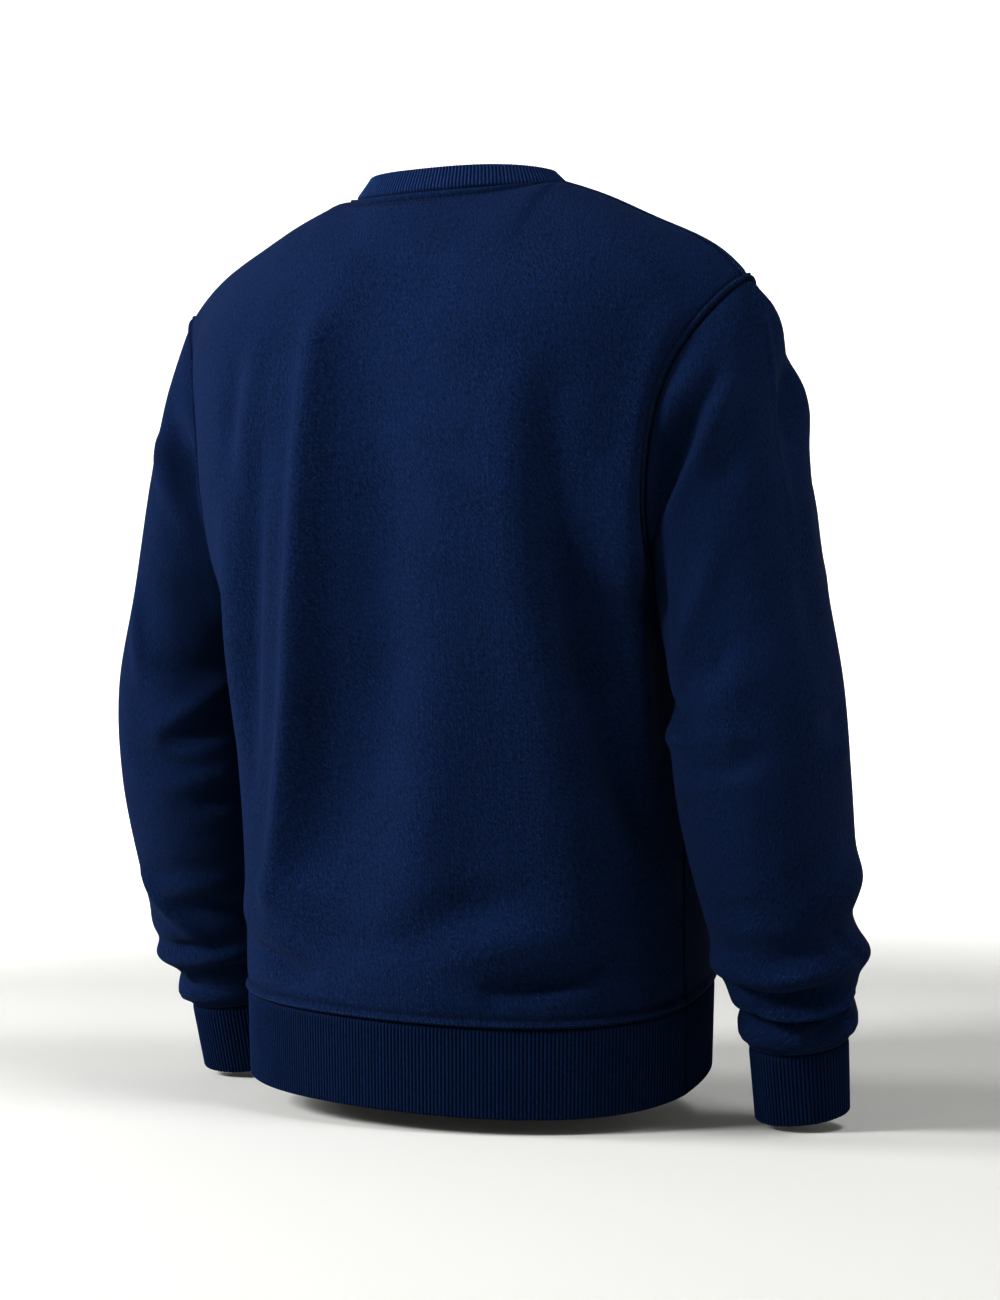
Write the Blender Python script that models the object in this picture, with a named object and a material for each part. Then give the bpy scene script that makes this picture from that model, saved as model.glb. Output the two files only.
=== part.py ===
"""Crewneck sweatshirt in its worn form, with nobody in it.

Metres, +Z up. The front faces -Y and +X is the wearer's left. The origin is the middle of
the neck, at the height of the neck's sides. Nine cut pieces: two body panels, two set-in
sleeves, a collar band, a hem band in two halves and two cuffs. Each is a closed wall of cloth.
"""
import math

import bpy
import numpy as np

# Cloth
FLEECE_WALL = 0.0020
RIB_WALL = 0.0024
SEAM_GAP = 0.0003
MITER_LIMIT = 0.60
LEAST_SLANT = 0.25

# Raised band over each seam, where the allowance is folded back and stitched flat
BAND_WIDTH = 0.0055
BAND_STEP = 0.0020
BAND_HEIGHT = 0.0009
FLAT_BAND_ROWS = 2

# Knit ribs
RIB_PITCH = 0.0028
RIB_HEIGHT = 0.0008
RIBS_PER_INNER_COLUMN = 3

# Mesh counts
SHOULDER_COLUMNS = 8
BACK_NECK_COLUMNS = 12
FRONT_NECK_COLUMNS = 12
NECK_CROWDING = 0.4
NECK_EASE_COLUMNS = 4
BODY_ROWS_BELOW = 12
ARMHOLE_ROWS = 11
SLEEVE_UPPER_RINGS = 14
SLEEVE_LOWER_RINGS = 10
ROW_CROWDING = 1.25
SECTIONS_TO_EVEN = 3
KEYS_OF_ROLLS = 2.5
DENSE = 241
QUARTER = 90.0

# Body sections up to the armpit, from the hem seam. Each is a rounded oblong seen from above.
# side_x and side_y place the side seam; back and front give y and z of the centre lines.
BODY_SECTIONS = (
    # side_x, side_y, side_z, back_y, back_z, front_y, front_z, square
    (0.1825, 0.002, -0.5905, 0.1480, -0.6030, -0.1450, -0.5710, 2.10),
    (0.1810, 0.002, -0.5740, 0.1520, -0.5870, -0.1520, -0.5530, 2.15),
    (0.1805, 0.002, -0.5310, 0.1520, -0.5450, -0.1550, -0.5120, 2.20),
    (0.1810, 0.003, -0.4640, 0.1520, -0.4740, -0.1530, -0.4520, 2.30),
    (0.1810, 0.006, -0.3940, 0.1570, -0.3990, -0.1500, -0.3880, 2.45),
    (0.1830, 0.006, -0.3290, 0.1640, -0.3260, -0.1500, -0.3240, 2.60),
)

# Sections above the armpit end on the armhole. spread is how far round the oblong they reach.
BACK_YOKE = (
    # edge_x, edge_y, edge_z, middle_y, middle_z, square, spread
    (0.1930, 0.0600, -0.2880, 0.1660, -0.2700, 2.6, 76.0),
    (0.1985, 0.0840, -0.2350, 0.1640, -0.2060, 2.5, 68.0),
    (0.2080, 0.0835, -0.1690, 0.1510, -0.1350, 2.4, 62.0),
    (0.2260, 0.0665, -0.1200, 0.1260, -0.0720, 2.3, 58.0),
)
FRONT_YOKE = (
    # edge_x, edge_y, edge_z, middle_y, middle_z, square, spread
    (0.1810, -0.0370, -0.2820, -0.1510, -0.2660, 2.5, 76.0),
    (0.1860, -0.0490, -0.2260, -0.1480, -0.2120, 2.4, 68.0),
    (0.2010, -0.0410, -0.1660, -0.1390, -0.1620, 2.3, 62.0),
    (0.2250, -0.0120, -0.1180, -0.1240, -0.1240, 2.2, 58.0),
)

# Shoulder seam from the neck point to the armhole
SHOULDER_SEAM = (
    # x, y, z
    (0.0900, 0.017, 0.0000),
    (0.1270, 0.018, -0.0130),
    (0.1680, 0.020, -0.0315),
    (0.2070, 0.023, -0.0485),
    (0.2310, 0.026, -0.0625),
    (0.2520, 0.030, -0.0810),
)
BACK_NECK_Y = 0.0835
BACK_NECK_Z = -0.0050
FRONT_NECK_Y = -0.0980
FRONT_NECK_Z = -0.0850
NECK_DIP_POWER = 1.3

# Sleeve rings. outer is the line down from the shoulder point, inner the line from the armpit.
SLEEVE_SECTIONS = (
    # outer_x, outer_y, outer_z, inner_x, inner_y, inner_z, half_depth, square
    (0.2670, 0.026, -0.1220, 0.1950, 0.014, -0.3320, 0.0665, 2.1),
    (0.2795, 0.025, -0.1900, 0.1990, 0.020, -0.3470, 0.0675, 2.1),
    (0.2935, 0.024, -0.2800, 0.2000, 0.023, -0.3740, 0.0655, 2.2),
    (0.3105, 0.024, -0.3600, 0.1970, 0.024, -0.4070, 0.0640, 2.3),
    (0.3155, 0.018, -0.4300, 0.1975, 0.018, -0.4520, 0.0620, 2.2),
    (0.3145, 0.005, -0.5000, 0.2030, 0.005, -0.5050, 0.0560, 2.1),
    (0.3085, -0.010, -0.5560, 0.2110, -0.010, -0.5530, 0.0500, 2.1),
    (0.3020, -0.021, -0.5960, 0.2170, -0.021, -0.5940, 0.0420, 2.0),
    (0.2930, -0.027, -0.6190, 0.2235, -0.027, -0.6180, 0.0345, 2.0),
)
CUFF_EDGE = (0.2890, -0.037, -0.6700, 0.2225, -0.037, -0.6720, 0.0325, 2.0)

# How far the sleeve's cloth sets off sideways from the body under the arm
UNDERARM_SWELL = 0.025
UNDERARM_POWER = 4

# Hem band below the body's seam. The hem hangs a little lower on the right side.
HEM_HEIGHT = 0.0635
HEM_DRAW_IN = 0.990
HEM_SKEW = 0.035

# Collar band. It leans in towards the neck by these angles, least at the back.
COLLAR_HEIGHT = 0.0195
COLLAR_CENTRE_Y = -0.005
COLLAR_LEAN_BACK = 24.0
COLLAR_LEAN_SIDE = 55.0
COLLAR_LEAN_FRONT = 42.0
COLLAR_LEAN_POWER = 4

# Folds on a body panel. across is from the centre line, towards the wearer's left; up is from
# the hem seam. A fold runs from its first end to its second, bowed sideways at its middle.
BACK_FOLDS = (
    # from_across, from_up, to_across, to_up, bow, width, height
    (0.036, 0.510, 0.098, 0.090, -0.017, 0.023, 0.0130),
    (-0.046, 0.520, 0.014, 0.060, -0.012, 0.052, -0.0180),
    (0.026, 0.200, 0.062, 0.092, 0.000, 0.030, -0.0080),
    (-0.128, 0.440, -0.160, 0.030, 0.003, 0.026, 0.0150),
    (-0.172, 0.460, -0.224, 0.100, 0.012, 0.026, -0.0160),
    (-0.222, 0.510, -0.212, 0.260, 0.000, 0.022, 0.0140),
    (0.132, 0.480, 0.088, 0.350, 0.000, 0.015, -0.0050),
    (0.080, 0.360, 0.122, 0.180, 0.000, 0.016, -0.0065),
    (0.128, 0.360, 0.142, 0.200, 0.000, 0.016, 0.0060),
    (-0.086, 0.230, -0.030, 0.050, -0.006, 0.034, 0.0075),
    (-0.112, 0.200, -0.105, 0.070, 0.000, 0.022, -0.0060),
    (0.130, 0.090, 0.040, 0.062, -0.004, 0.016, -0.0060),
    (-0.070, 0.062, -0.130, 0.082, 0.000, 0.015, -0.0050),
    (-0.165, 0.066, -0.045, 0.040, 0.000, 0.017, 0.0080),
    (-0.095, 0.018, -0.210, 0.034, 0.000, 0.011, -0.0085),
    (0.140, 0.042, 0.030, 0.026, 0.000, 0.011, -0.0045),
    (0.160, 0.066, 0.080, 0.050, 0.000, 0.012, 0.0045),
)
FRONT_FOLDS = (
    # from_across, from_up, to_across, to_up, bow, width, height
    (0.086, 0.430, 0.112, 0.110, 0.010, 0.019, 0.0090),
    (0.040, 0.380, 0.052, 0.100, 0.004, 0.022, -0.0070),
    (-0.078, 0.410, -0.106, 0.120, -0.010, 0.020, 0.0085),
    (-0.034, 0.350, -0.052, 0.090, 0.000, 0.024, -0.0070),
    (0.006, 0.330, 0.002, 0.060, 0.006, 0.024, 0.0045),
    (0.236, 0.330, 0.140, 0.300, -0.008, 0.015, -0.0060),
    (-0.238, 0.320, -0.130, 0.270, 0.008, 0.016, -0.0065),
    (0.222, 0.300, 0.150, 0.190, 0.004, 0.020, 0.0055),
    (-0.220, 0.280, -0.160, 0.160, -0.004, 0.020, 0.0055),
    (0.165, 0.058, 0.070, 0.036, 0.000, 0.012, -0.0050),
    (-0.050, 0.044, -0.150, 0.030, 0.000, 0.011, -0.0050),
    (0.040, 0.070, -0.045, 0.088, 0.000, 0.017, 0.0045),
    (-0.080, 0.084, -0.150, 0.066, 0.000, 0.016, 0.0040),
)

# Folds on a sleeve. turn is in degrees from the shoulder line, over the back; up is from the
# cuff seam. The last rows are the rolls that pile up on the cuff.
RIGHT_SLEEVE_FOLDS = (
    # from_turn, from_up, to_turn, to_up, bow, width, height
    (50.0, 0.502, 88.0, 0.448, 0.002, 0.009, 0.0050),
    (48.0, 0.495, 98.0, 0.432, 0.003, 0.010, -0.0110),
    (50.0, 0.484, 118.0, 0.380, 0.004, 0.012, 0.0085),
    (34.0, 0.492, 98.0, 0.390, 0.004, 0.014, -0.0070),
    (2.0, 0.400, 8.0, 0.290, 0.000, 0.014, -0.0035),
    (150.0, 0.362, 104.0, 0.352, 0.003, 0.014, -0.0055),
    (160.0, 0.276, 90.0, 0.300, -0.003, 0.013, -0.0045),
    (150.0, 0.248, 84.0, 0.264, 0.000, 0.011, 0.0055),
    (160.0, 0.228, 88.0, 0.246, 0.000, 0.009, -0.0055),
    (140.0, 0.210, 74.0, 0.232, 0.000, 0.010, 0.0050),
    (150.0, 0.195, 80.0, 0.216, 0.000, 0.009, -0.0050),
    (150.0, 0.182, 86.0, 0.200, 0.000, 0.010, 0.0045),
    (165.0, 0.165, 96.0, 0.182, 0.000, 0.012, -0.0045),
    (24.0, 0.205, -8.0, 0.232, 0.000, 0.008, -0.0050),
    (30.0, 0.222, -14.0, 0.250, 0.000, 0.009, 0.0035),
    (-45.0, 0.130, 30.0, 0.126, 0.000, 0.014, 0.0050),
    (-50.0, 0.100, 40.0, 0.094, 0.000, 0.012, -0.0050),
    (-80.0, 0.470, -40.0, 0.400, -0.004, 0.013, -0.0055),
    (-112.0, 0.360, -50.0, 0.330, 0.003, 0.015, 0.0045),
    (-160.0, 0.270, -95.0, 0.250, 0.003, 0.013, -0.0055),
    (-165.0, 0.222, -100.0, 0.236, 0.000, 0.012, 0.0045),
    (-150.0, 0.150, -60.0, 0.168, 0.003, 0.014, -0.0045),
    (165.0, 0.066, -100.0, 0.056, 0.000, 0.012, 0.0095),
    (150.0, 0.078, 98.0, 0.052, 0.000, 0.008, -0.0038),
    (92.0, 0.034, -14.0, 0.047, 0.000, 0.008, -0.0093),
    (175.0, 0.038, 34.0, 0.018, 0.000, 0.008, -0.0068),
    (12.0, 0.088, -6.0, 0.062, 0.000, 0.008, -0.0034),
    (175.0, 0.016, -70.0, 0.021, 0.000, 0.009, 0.0080),
    (-30.0, 0.040, -175.0, 0.042, 0.000, 0.008, -0.0090),
    (-90.0, 0.060, -190.0, 0.064, 0.000, 0.012, 0.0080),
    (-50.0, 0.018, -180.0, 0.018, 0.000, 0.009, 0.0075),
)
LEFT_SLEEVE_FOLDS = (
    # from_turn, from_up, to_turn, to_up, bow, width, height
    (46.0, 0.492, 90.0, 0.430, 0.003, 0.010, -0.0075),
    (60.0, 0.470, 112.0, 0.380, 0.004, 0.013, 0.0055),
    (70.0, 0.336, 104.0, 0.268, 0.000, 0.014, 0.0070),
    (105.0, 0.284, 168.0, 0.292, 0.000, 0.012, -0.0080),
    (112.0, 0.246, 160.0, 0.270, 0.000, 0.011, 0.0065),
    (112.0, 0.232, 176.0, 0.236, 0.000, 0.011, -0.0090),
    (88.0, 0.218, 130.0, 0.208, 0.000, 0.011, -0.0050),
    (104.0, 0.196, 170.0, 0.204, 0.000, 0.012, 0.0045),
    (112.0, 0.180, 178.0, 0.184, 0.000, 0.012, -0.0075),
    (70.0, 0.150, 160.0, 0.146, 0.000, 0.015, 0.0040),
    (100.0, 0.092, 175.0, 0.080, 0.000, 0.010, -0.0085),
    (66.0, 0.122, 118.0, 0.062, 0.000, 0.011, 0.0075),
    (-16.0, 0.236, 26.0, 0.218, 0.000, 0.011, -0.0040),
    (-84.0, 0.470, -40.0, 0.410, -0.004, 0.013, -0.0055),
    (-112.0, 0.350, -46.0, 0.330, 0.003, 0.015, 0.0045),
    (-160.0, 0.262, -92.0, 0.250, 0.003, 0.013, -0.0055),
    (-150.0, 0.220, -90.0, 0.232, 0.000, 0.012, 0.0045),
    (-150.0, 0.156, -54.0, 0.170, 0.003, 0.014, -0.0045),
    (-60.0, 0.074, 70.0, 0.072, 0.002, 0.014, 0.0040),
    (60.0, 0.055, 145.0, 0.062, 0.000, 0.008, -0.0064),
    (-120.0, 0.044, 150.0, 0.046, 0.002, 0.009, 0.0085),
    (88.0, 0.030, 160.0, 0.036, 0.000, 0.008, -0.0068),
    (-100.0, 0.029, 90.0, 0.030, 0.003, 0.008, -0.0051),
    (-150.0, 0.016, 160.0, 0.018, 0.000, 0.009, 0.0085),
)
FOLD_END_SHARE = 0.12
FOLD_TAPER_POWER = 0.8
FADE_AT_SEAM = 0.018
FADE_AT_CUFF = 0.007

NAVY = "#0b1833"
FLEECE_ROUGHNESS = 0.9
RIB_ROUGHNESS = 0.85


def smooth(table, places, end=None, swell=0.0):
    """Reads a table of rows, or a stack of curves, at fractional row numbers, smoothly.

    end is the slope at the last row, where a neighbour settles it. swell adds to the first."""
    table = np.asarray(table, float)
    places = np.atleast_1d(np.asarray(places, float))
    slopes = np.gradient(table, axis=0)
    slopes[0] = 2 * (table[1] - table[0]) - slopes[1] + swell
    slopes[-1] = 2 * (table[-1] - table[-2]) - slopes[-2] if end is None else end
    low = np.clip(np.floor(places).astype(int), 0, len(table) - 2)
    part = (places - low).reshape((-1,) + (1,) * (table.ndim - 1))
    before, after = table[low], table[low + 1]
    rise_in, rise_out = slopes[low], slopes[low + 1]
    return (
        before * (2 * part**3 - 3 * part**2 + 1)
        + rise_in * (part**3 - 2 * part**2 + part)
        + after * (3 * part**2 - 2 * part**3)
        + rise_out * (part**3 - part**2)
    )


def lengths(curve):
    """Distance along a curve at each of its points."""
    steps = np.linalg.norm(np.diff(curve, axis=0), axis=1)
    return np.concatenate(([0.0], np.cumsum(steps)))


def at_lengths(curve, distances):
    """Points of a curve at the given distances along it."""
    run = lengths(curve)
    return np.stack([np.interp(distances, run, curve[:, k]) for k in range(3)], axis=1)


def oblong(edge, middle, square, spread):
    """Arc of a rounded oblong from the right edge, over the middle, to the left edge.

    The height follows the depth, and levels off towards the middle."""
    power = 2.0 / square
    angle = np.radians(spread) * np.linspace(-1, 1, DENSE)
    reach = math.sin(math.radians(spread)) ** power
    floor = max(math.cos(math.radians(spread)), 0.0) ** power
    across = np.sign(angle) * np.abs(np.sin(angle)) ** power / reach
    rise = (np.maximum(np.cos(angle), 0.0) ** power - floor) / (1 - floor)
    return np.stack(
        [
            edge[0] * across,
            edge[1] + (middle[0] - edge[1]) * rise,
            edge[2] + (middle[1] - edge[2]) * rise * (2 - rise),
        ],
        axis=1,
    )


def top_edge(neck_y, neck_z):
    """Right shoulder seam, neckline and left shoulder seam as one curve, and the neck's place."""
    seam = smooth(SHOULDER_SEAM, np.linspace(0, len(SHOULDER_SEAM) - 1, DENSE))
    turn = np.linspace(-QUARTER, QUARTER, DENSE)[1:-1]
    neck_x, side_y, side_z = SHOULDER_SEAM[0]
    level = np.cos(np.radians(turn))
    neckline = np.stack(
        [
            neck_x * np.sin(np.radians(turn)),
            side_y + (neck_y - side_y) * level,
            side_z + (neck_z - side_z) * level ** NECK_DIP_POWER,
        ],
        axis=1,
    )
    mirrored = seam[::-1] * (-1, 1, 1)
    shoulder_length = lengths(seam)[-1]
    return np.concatenate([mirrored, neckline, seam]), shoulder_length


def spread_columns(curves, neck_columns, shoulder_length):
    """Points along each key curve, close together at the armhole band, matched from row to row."""
    border = BAND_WIDTH + BAND_STEP
    whole = lengths(curves[-1])[-1]
    shoulder = np.linspace(border, shoulder_length, SHOULDER_COLUMNS + 1)
    even = np.linspace(0, 1, neck_columns + 1)
    crowded = even + NECK_CROWDING * ((1 - np.cos(np.pi * even)) / 2 - even)
    neckline = shoulder_length + (whole - 2 * shoulder_length) * crowded
    inside = np.concatenate([shoulder[:-1], neckline, whole - shoulder[-2::-1]])
    rows = []
    for curve in curves:
        length = lengths(curve)[-1]
        scaled = border + (inside - border) * (length - 2 * border) / (whole - 2 * border)
        stops = np.concatenate([[0, BAND_WIDTH], scaled, [length - BAND_WIDTH, length]])
        rows.append(at_lengths(curve, stops))
    return np.array(rows)


def row_places(key_rows, keys_below):
    """Key-row numbers of every mesh row in every column, with two close rows at each band."""
    border = BAND_WIDTH + BAND_STEP
    first = np.linalg.norm(key_rows[1] - key_rows[0], axis=1)
    last = np.linalg.norm(key_rows[-1] - key_rows[-2], axis=1)
    top = len(key_rows) - 1
    low = border / first
    high = top - border / last
    places = [np.zeros_like(low), BAND_WIDTH / first]
    for step in np.linspace(0, 1, BODY_ROWS_BELOW - 1) ** ROW_CROWDING:
        places.append(low + (keys_below - low) * step)
    for step in np.linspace(0, 1, ARMHOLE_ROWS - 1)[1:]:
        places.append(keys_below + (high - keys_below) * step)
    places += [top - BAND_WIDTH / last, np.full_like(low, top)]
    return np.array(places)


def panel_keys(side, middles, yoke, neck, neck_columns):
    """Key rows of a body panel: its sections, its yoke and its top edge."""
    curves = []
    for (side_x, side_y, side_z, square), middle in zip(side, middles):
        curves.append(oblong((side_x, side_y, side_z), middle, square, QUARTER))
    for edge_x, edge_y, edge_z, middle_y, middle_z, square, spread in yoke:
        curves.append(oblong((edge_x, edge_y, edge_z), (middle_y, middle_z), square, spread))
    top, shoulder_length = top_edge(*neck)
    curves.append(top)
    keys = spread_columns(curves, neck_columns, shoulder_length)
    hang = np.maximum(1 - np.arange(len(side)) / (len(side) - 2), 0)[:, None]
    keys[:len(side), :, 2] += HEM_SKEW * hang * keys[:len(side), :, 0]
    return keys


def end_slopes(keys, other_keys):
    """Slope of each column at the top.

    Along the shoulder seams both panels share a plane, which eases off beside the neck."""
    last = 2 * (keys[-1] - keys[-2]) - (keys[-1] - keys[-3]) / 2
    other = 2 * (other_keys[-1] - other_keys[-2]) - (other_keys[-1] - other_keys[-3]) / 2
    joined = 3 + SHOULDER_COLUMNS
    along = np.diff(keys[-1], axis=0)
    along /= np.linalg.norm(along, axis=1)[:, None]
    right = np.concatenate([along[:joined - 1], along[joined - 2:joined - 1]])
    left = np.concatenate([along[1 - joined:2 - joined], along[1 - joined:]])
    before = last.copy()
    for columns, seam in ((slice(0, joined), right), (slice(-joined, None), left)):
        level = (last[columns] - other[columns]) / 2
        shared = (last[columns] + other[columns]) / 2
        last[columns] = level + seam * np.einsum("ij,ij->i", shared, seam)[:, None]
    change = last - before
    part = np.arange(1, NECK_EASE_COLUMNS) / NECK_EASE_COLUMNS
    eased = (1 - part**2 * (3 - 2 * part))[:, None]
    last[joined:joined + len(eased)] += change[joined - 1] * eased
    last[-joined - len(eased):-joined] += change[-joined] * eased[::-1]
    return last


def panel_grid(keys, other_keys, keys_below):
    """Outer surface of a body panel: rows from the hem seam up, columns from right to left."""
    places = row_places(keys, keys_below)
    ends = end_slopes(keys, other_keys)
    columns = [smooth(keys[:, c], places[:, c], ends[c]) for c in range(keys.shape[1])]
    for side in (0, -1):
        seam = places[:, side] <= keys_below
        columns[side][seam] = smooth(keys[:keys_below + 1, side], places[seam, side])
    return np.stack(columns, axis=1)


def body_panels():
    """Base surfaces of the back and the front."""
    side_x, side_y, side_z, back_y, back_z, front_y, front_z, square = np.array(BODY_SECTIONS).T
    side = np.stack([side_x, side_y, side_z, square], axis=1)
    back_middle = np.stack([back_y, back_z], axis=1)
    front_middle = np.stack([front_y, front_z], axis=1)
    back_neck = (BACK_NECK_Y, BACK_NECK_Z)
    front_neck = (FRONT_NECK_Y, FRONT_NECK_Z)
    back = panel_keys(side, back_middle, BACK_YOKE, back_neck, BACK_NECK_COLUMNS)
    front = panel_keys(side, front_middle, FRONT_YOKE, front_neck, FRONT_NECK_COLUMNS)
    armpit = len(BODY_SECTIONS) - 1
    return panel_grid(back, front, armpit), panel_grid(front, back, armpit)


def armhole_ring(back, front, column):
    """Points round one armhole, from the shoulder over the back to the armpit and up the front."""
    down_back = back[BODY_ROWS_BELOW:, column][::-1]
    up_front = front[BODY_ROWS_BELOW + 1:-1, column]
    return np.concatenate([down_back, up_front])


def sleeve_ring(section, axis, around):
    """One ring of a sleeve. around holds the angle of each point, 0 at the outer line."""
    outer, inner = section[:3], section[3:6]
    half_depth, square = section[6:]
    half = (outer - inner) / 2
    depth = np.cross(axis, half)
    depth *= math.copysign(half_depth, depth[1]) / np.linalg.norm(depth)
    power = 2.0 / square
    cosine, sine = np.cos(around), np.sin(around)
    along = np.sign(cosine) * np.abs(cosine) ** power
    across = np.sign(sine) * np.abs(sine) ** power
    return (outer + inner) / 2 + along[:, None] * half + across[:, None] * depth


def ring_angles(armhole):
    """Angle of each armhole point: 0 at the shoulder, pi at the armpit, by distance round it."""
    run = lengths(np.concatenate([armhole, armhole[:1]]))
    armpit = run[ARMHOLE_ROWS]
    back = math.pi * run / armpit
    front = math.pi * (1 + (run - armpit) / (run[-1] - armpit))
    return np.where(run <= armpit, back, front)[:-1]


def sleeve_grids(armhole, outward):
    """Left sleeve and cuff as rings down the arm, columns round it from the shoulder line.

    Also the angle of every point of the sleeve. The columns even out below the armhole, and
    the cloth swells off the body's side under the arm. outward is the body's normals there."""
    at_armhole = ring_angles(armhole)
    front_columns = len(armhole) - ARMHOLE_ROWS
    even = math.pi * np.concatenate([
        np.arange(ARMHOLE_ROWS) / ARMHOLE_ROWS,
        1 + np.arange(front_columns) / front_columns,
    ])
    table = np.array(SLEEVE_SECTIONS + (CUFF_EDGE,))
    centres = (table[:, :3] + table[:, 3:6]) / 2
    axes = np.gradient(centres, axis=0)
    evened = np.clip((np.arange(len(table)) + 1) / SECTIONS_TO_EVEN, 0, 1)[:, None]
    around = at_armhole * (1 - evened) + even * evened
    rings = [sleeve_ring(*ring) for ring in zip(table, axes, around)]
    key_rings = np.array([armhole] + rings)
    key_angles = np.concatenate([[at_armhole], around])
    keys = len(SLEEVE_SECTIONS)
    last = np.linalg.norm(key_rings[keys] - key_rings[keys - 1], axis=1)
    upper = np.linspace(0, keys - KEYS_OF_ROLLS, SLEEVE_UPPER_RINGS + 1)[:-1]
    border = keys - (BAND_WIDTH + BAND_STEP) / last
    lower = np.linspace(keys - KEYS_OF_ROLLS, border, SLEEVE_LOWER_RINGS + 1)
    places = [np.full_like(last, step) for step in upper] + list(lower)
    places += [keys - BAND_WIDTH / last, np.full_like(last, keys)]
    places = np.array(places)
    swell = outward * (UNDERARM_SWELL * np.sin(at_armhole / 2) ** UNDERARM_POWER)[:, None]
    columns = [smooth(key_rings[:, c], places[:, c], None, swell[c]) for c in range(len(armhole))]
    angles = [smooth(key_angles[:, c], places[:, c]) for c in range(len(armhole))]
    return np.stack(columns, axis=1), np.stack(angles, axis=1), key_rings[keys:]


def neck_ring(back, front):
    """The neckline: over the back from right to left, then over the front from left to right."""
    first = 2 + SHOULDER_COLUMNS
    over_back = back[-1, first:-first]
    over_front = front[-1, first:-first][::-1]
    return np.concatenate([over_back, over_front[1:-1]])


def collar_grid(neckline):
    """Collar band: rows from the neck seam up, leaning in towards the neck."""
    inward = (np.array([0.0, COLLAR_CENTRE_Y, 0.0]) - neckline) * (1, 1, 0)
    inward /= np.linalg.norm(inward, axis=1)[:, None]
    middle_lean = np.where(inward[:, 1] < 0, COLLAR_LEAN_BACK, COLLAR_LEAN_FRONT)
    lean = middle_lean + (COLLAR_LEAN_SIDE - middle_lean) * inward[:, 0] ** COLLAR_LEAN_POWER
    lean = np.radians(lean)[:, None]
    rise = np.array([0, 0, 1.0]) * np.cos(lean) + inward * np.sin(lean)
    return np.array([neckline, neckline + rise * COLLAR_HEIGHT])


def hem_grid(panel):
    """Half of the hem band: the seam and the edge below it."""
    edge = panel[0] * (HEM_DRAW_IN, HEM_DRAW_IN, 1) - (0, 0, HEM_HEIGHT)
    return np.array([panel[0], edge])


def grid_normals(grid, closed, outward):
    """Unit normals of a grid's points. outward is 1 or -1."""
    if closed:
        along = np.roll(grid, -1, axis=1) - np.roll(grid, 1, axis=1)
    else:
        along = np.gradient(grid, axis=1)
    normals = np.cross(along, np.gradient(grid, axis=0)) * outward
    return normals / np.linalg.norm(normals, axis=2)[:, :, None]


def ease_corners(normals):
    """Turns a panel's normals at the neck's corners to the middle of those beside them."""
    for corner in (2 + SHOULDER_COLUMNS, -3 - SHOULDER_COLUMNS):
        mean = normals[-1, corner - 1] + normals[-1, corner + 1]
        normals[-1, corner] = mean / np.linalg.norm(mean)


def share_normals(grids, normals):
    """Offset directions of all points. Points that meet at a seam share one: the middle of the
    body panels' normals and the joined piece's."""
    total = {}
    for name, grid in grids.items():
        for point, normal in zip(grid.reshape(-1, 3), normals[name].reshape(-1, 3)):
            sides = total.setdefault(tuple(np.round(point, 6)), ([], []))
            sides[name.endswith("panel")].append(normal)
    offsets = {}
    for name, grid in grids.items():
        offset = np.empty_like(grid)
        for index in np.ndindex(grid.shape[:2]):
            sides = total[tuple(np.round(grid[index], 6))]
            mean = sum(np.mean(side, axis=0) for side in sides if side)
            mean /= np.linalg.norm(mean)
            offset[index] = mean / max(float(mean @ normals[name][index]), MITER_LIMIT)
        offsets[name] = offset
    return offsets


def fold_relief(across, up, folds, scale=1.0, wrap=None):
    """Height of a table of folds at points of the flat cloth.

    scale turns the table's across values into metres, and wrap is the distance round a tube.
    """
    relief = np.zeros_like(up)
    for from_across, from_up, to_across, to_up, bow, width, height in folds:
        run_across, run_up = (to_across - from_across) * scale, to_up - from_up
        length = np.hypot(run_across, run_up)
        aside = across - from_across * scale
        if wrap is not None:
            middle = run_across / 2
            aside = (aside - middle + wrap / 2) % wrap - wrap / 2 + middle
        along = (aside * run_across + (up - from_up) * run_up) / length**2
        inside = np.clip(along, 0, 1)
        off = ((up - from_up) * run_across - aside * run_up) / length
        off = off - bow * 4 * inside * (1 - inside)
        beyond = (along - inside) * length
        spot = FOLD_END_SHARE + (1 - 2 * FOLD_END_SHARE) * inside
        taper = np.sin(np.pi * spot) ** FOLD_TAPER_POWER
        relief = relief + height * taper * np.exp(-(off**2 + beyond**2) / width**2)
    return relief


def faded(relief, edge):
    """Relief that fades out towards the seams. edge is the distance to the nearest one."""
    fade = np.clip(edge / FADE_AT_SEAM, 0, 1)
    return relief * fade**2 * (3 - 2 * fade)


def panel_relief(grid, folds):
    """Fold heights over a body panel."""
    across = np.array([lengths(row) for row in grid])
    half = across[:, -1:] / 2
    up = np.array([lengths(column) for column in grid.swapaxes(0, 1)]).T
    edge = np.minimum(np.minimum(half - np.abs(across - half), up), up[-1] - up)
    return faded(fold_relief(across - half, up, folds), edge)


def sleeve_relief(grid, angles, folds):
    """Fold heights over a sleeve."""
    closed = np.concatenate([grid, grid[:, :1]], axis=1)
    girth = np.array([lengths(row)[-1] for row in closed])[:, None]
    down = np.array([lengths(column) for column in grid.swapaxes(0, 1)]).T
    up = down[-1] - down
    across = angles / (2 * math.pi) * girth
    relief = fold_relief(across, up, folds, girth / 360.0, girth)
    return faded(relief, np.minimum(down, up * FADE_AT_SEAM / FADE_AT_CUFF))


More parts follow.
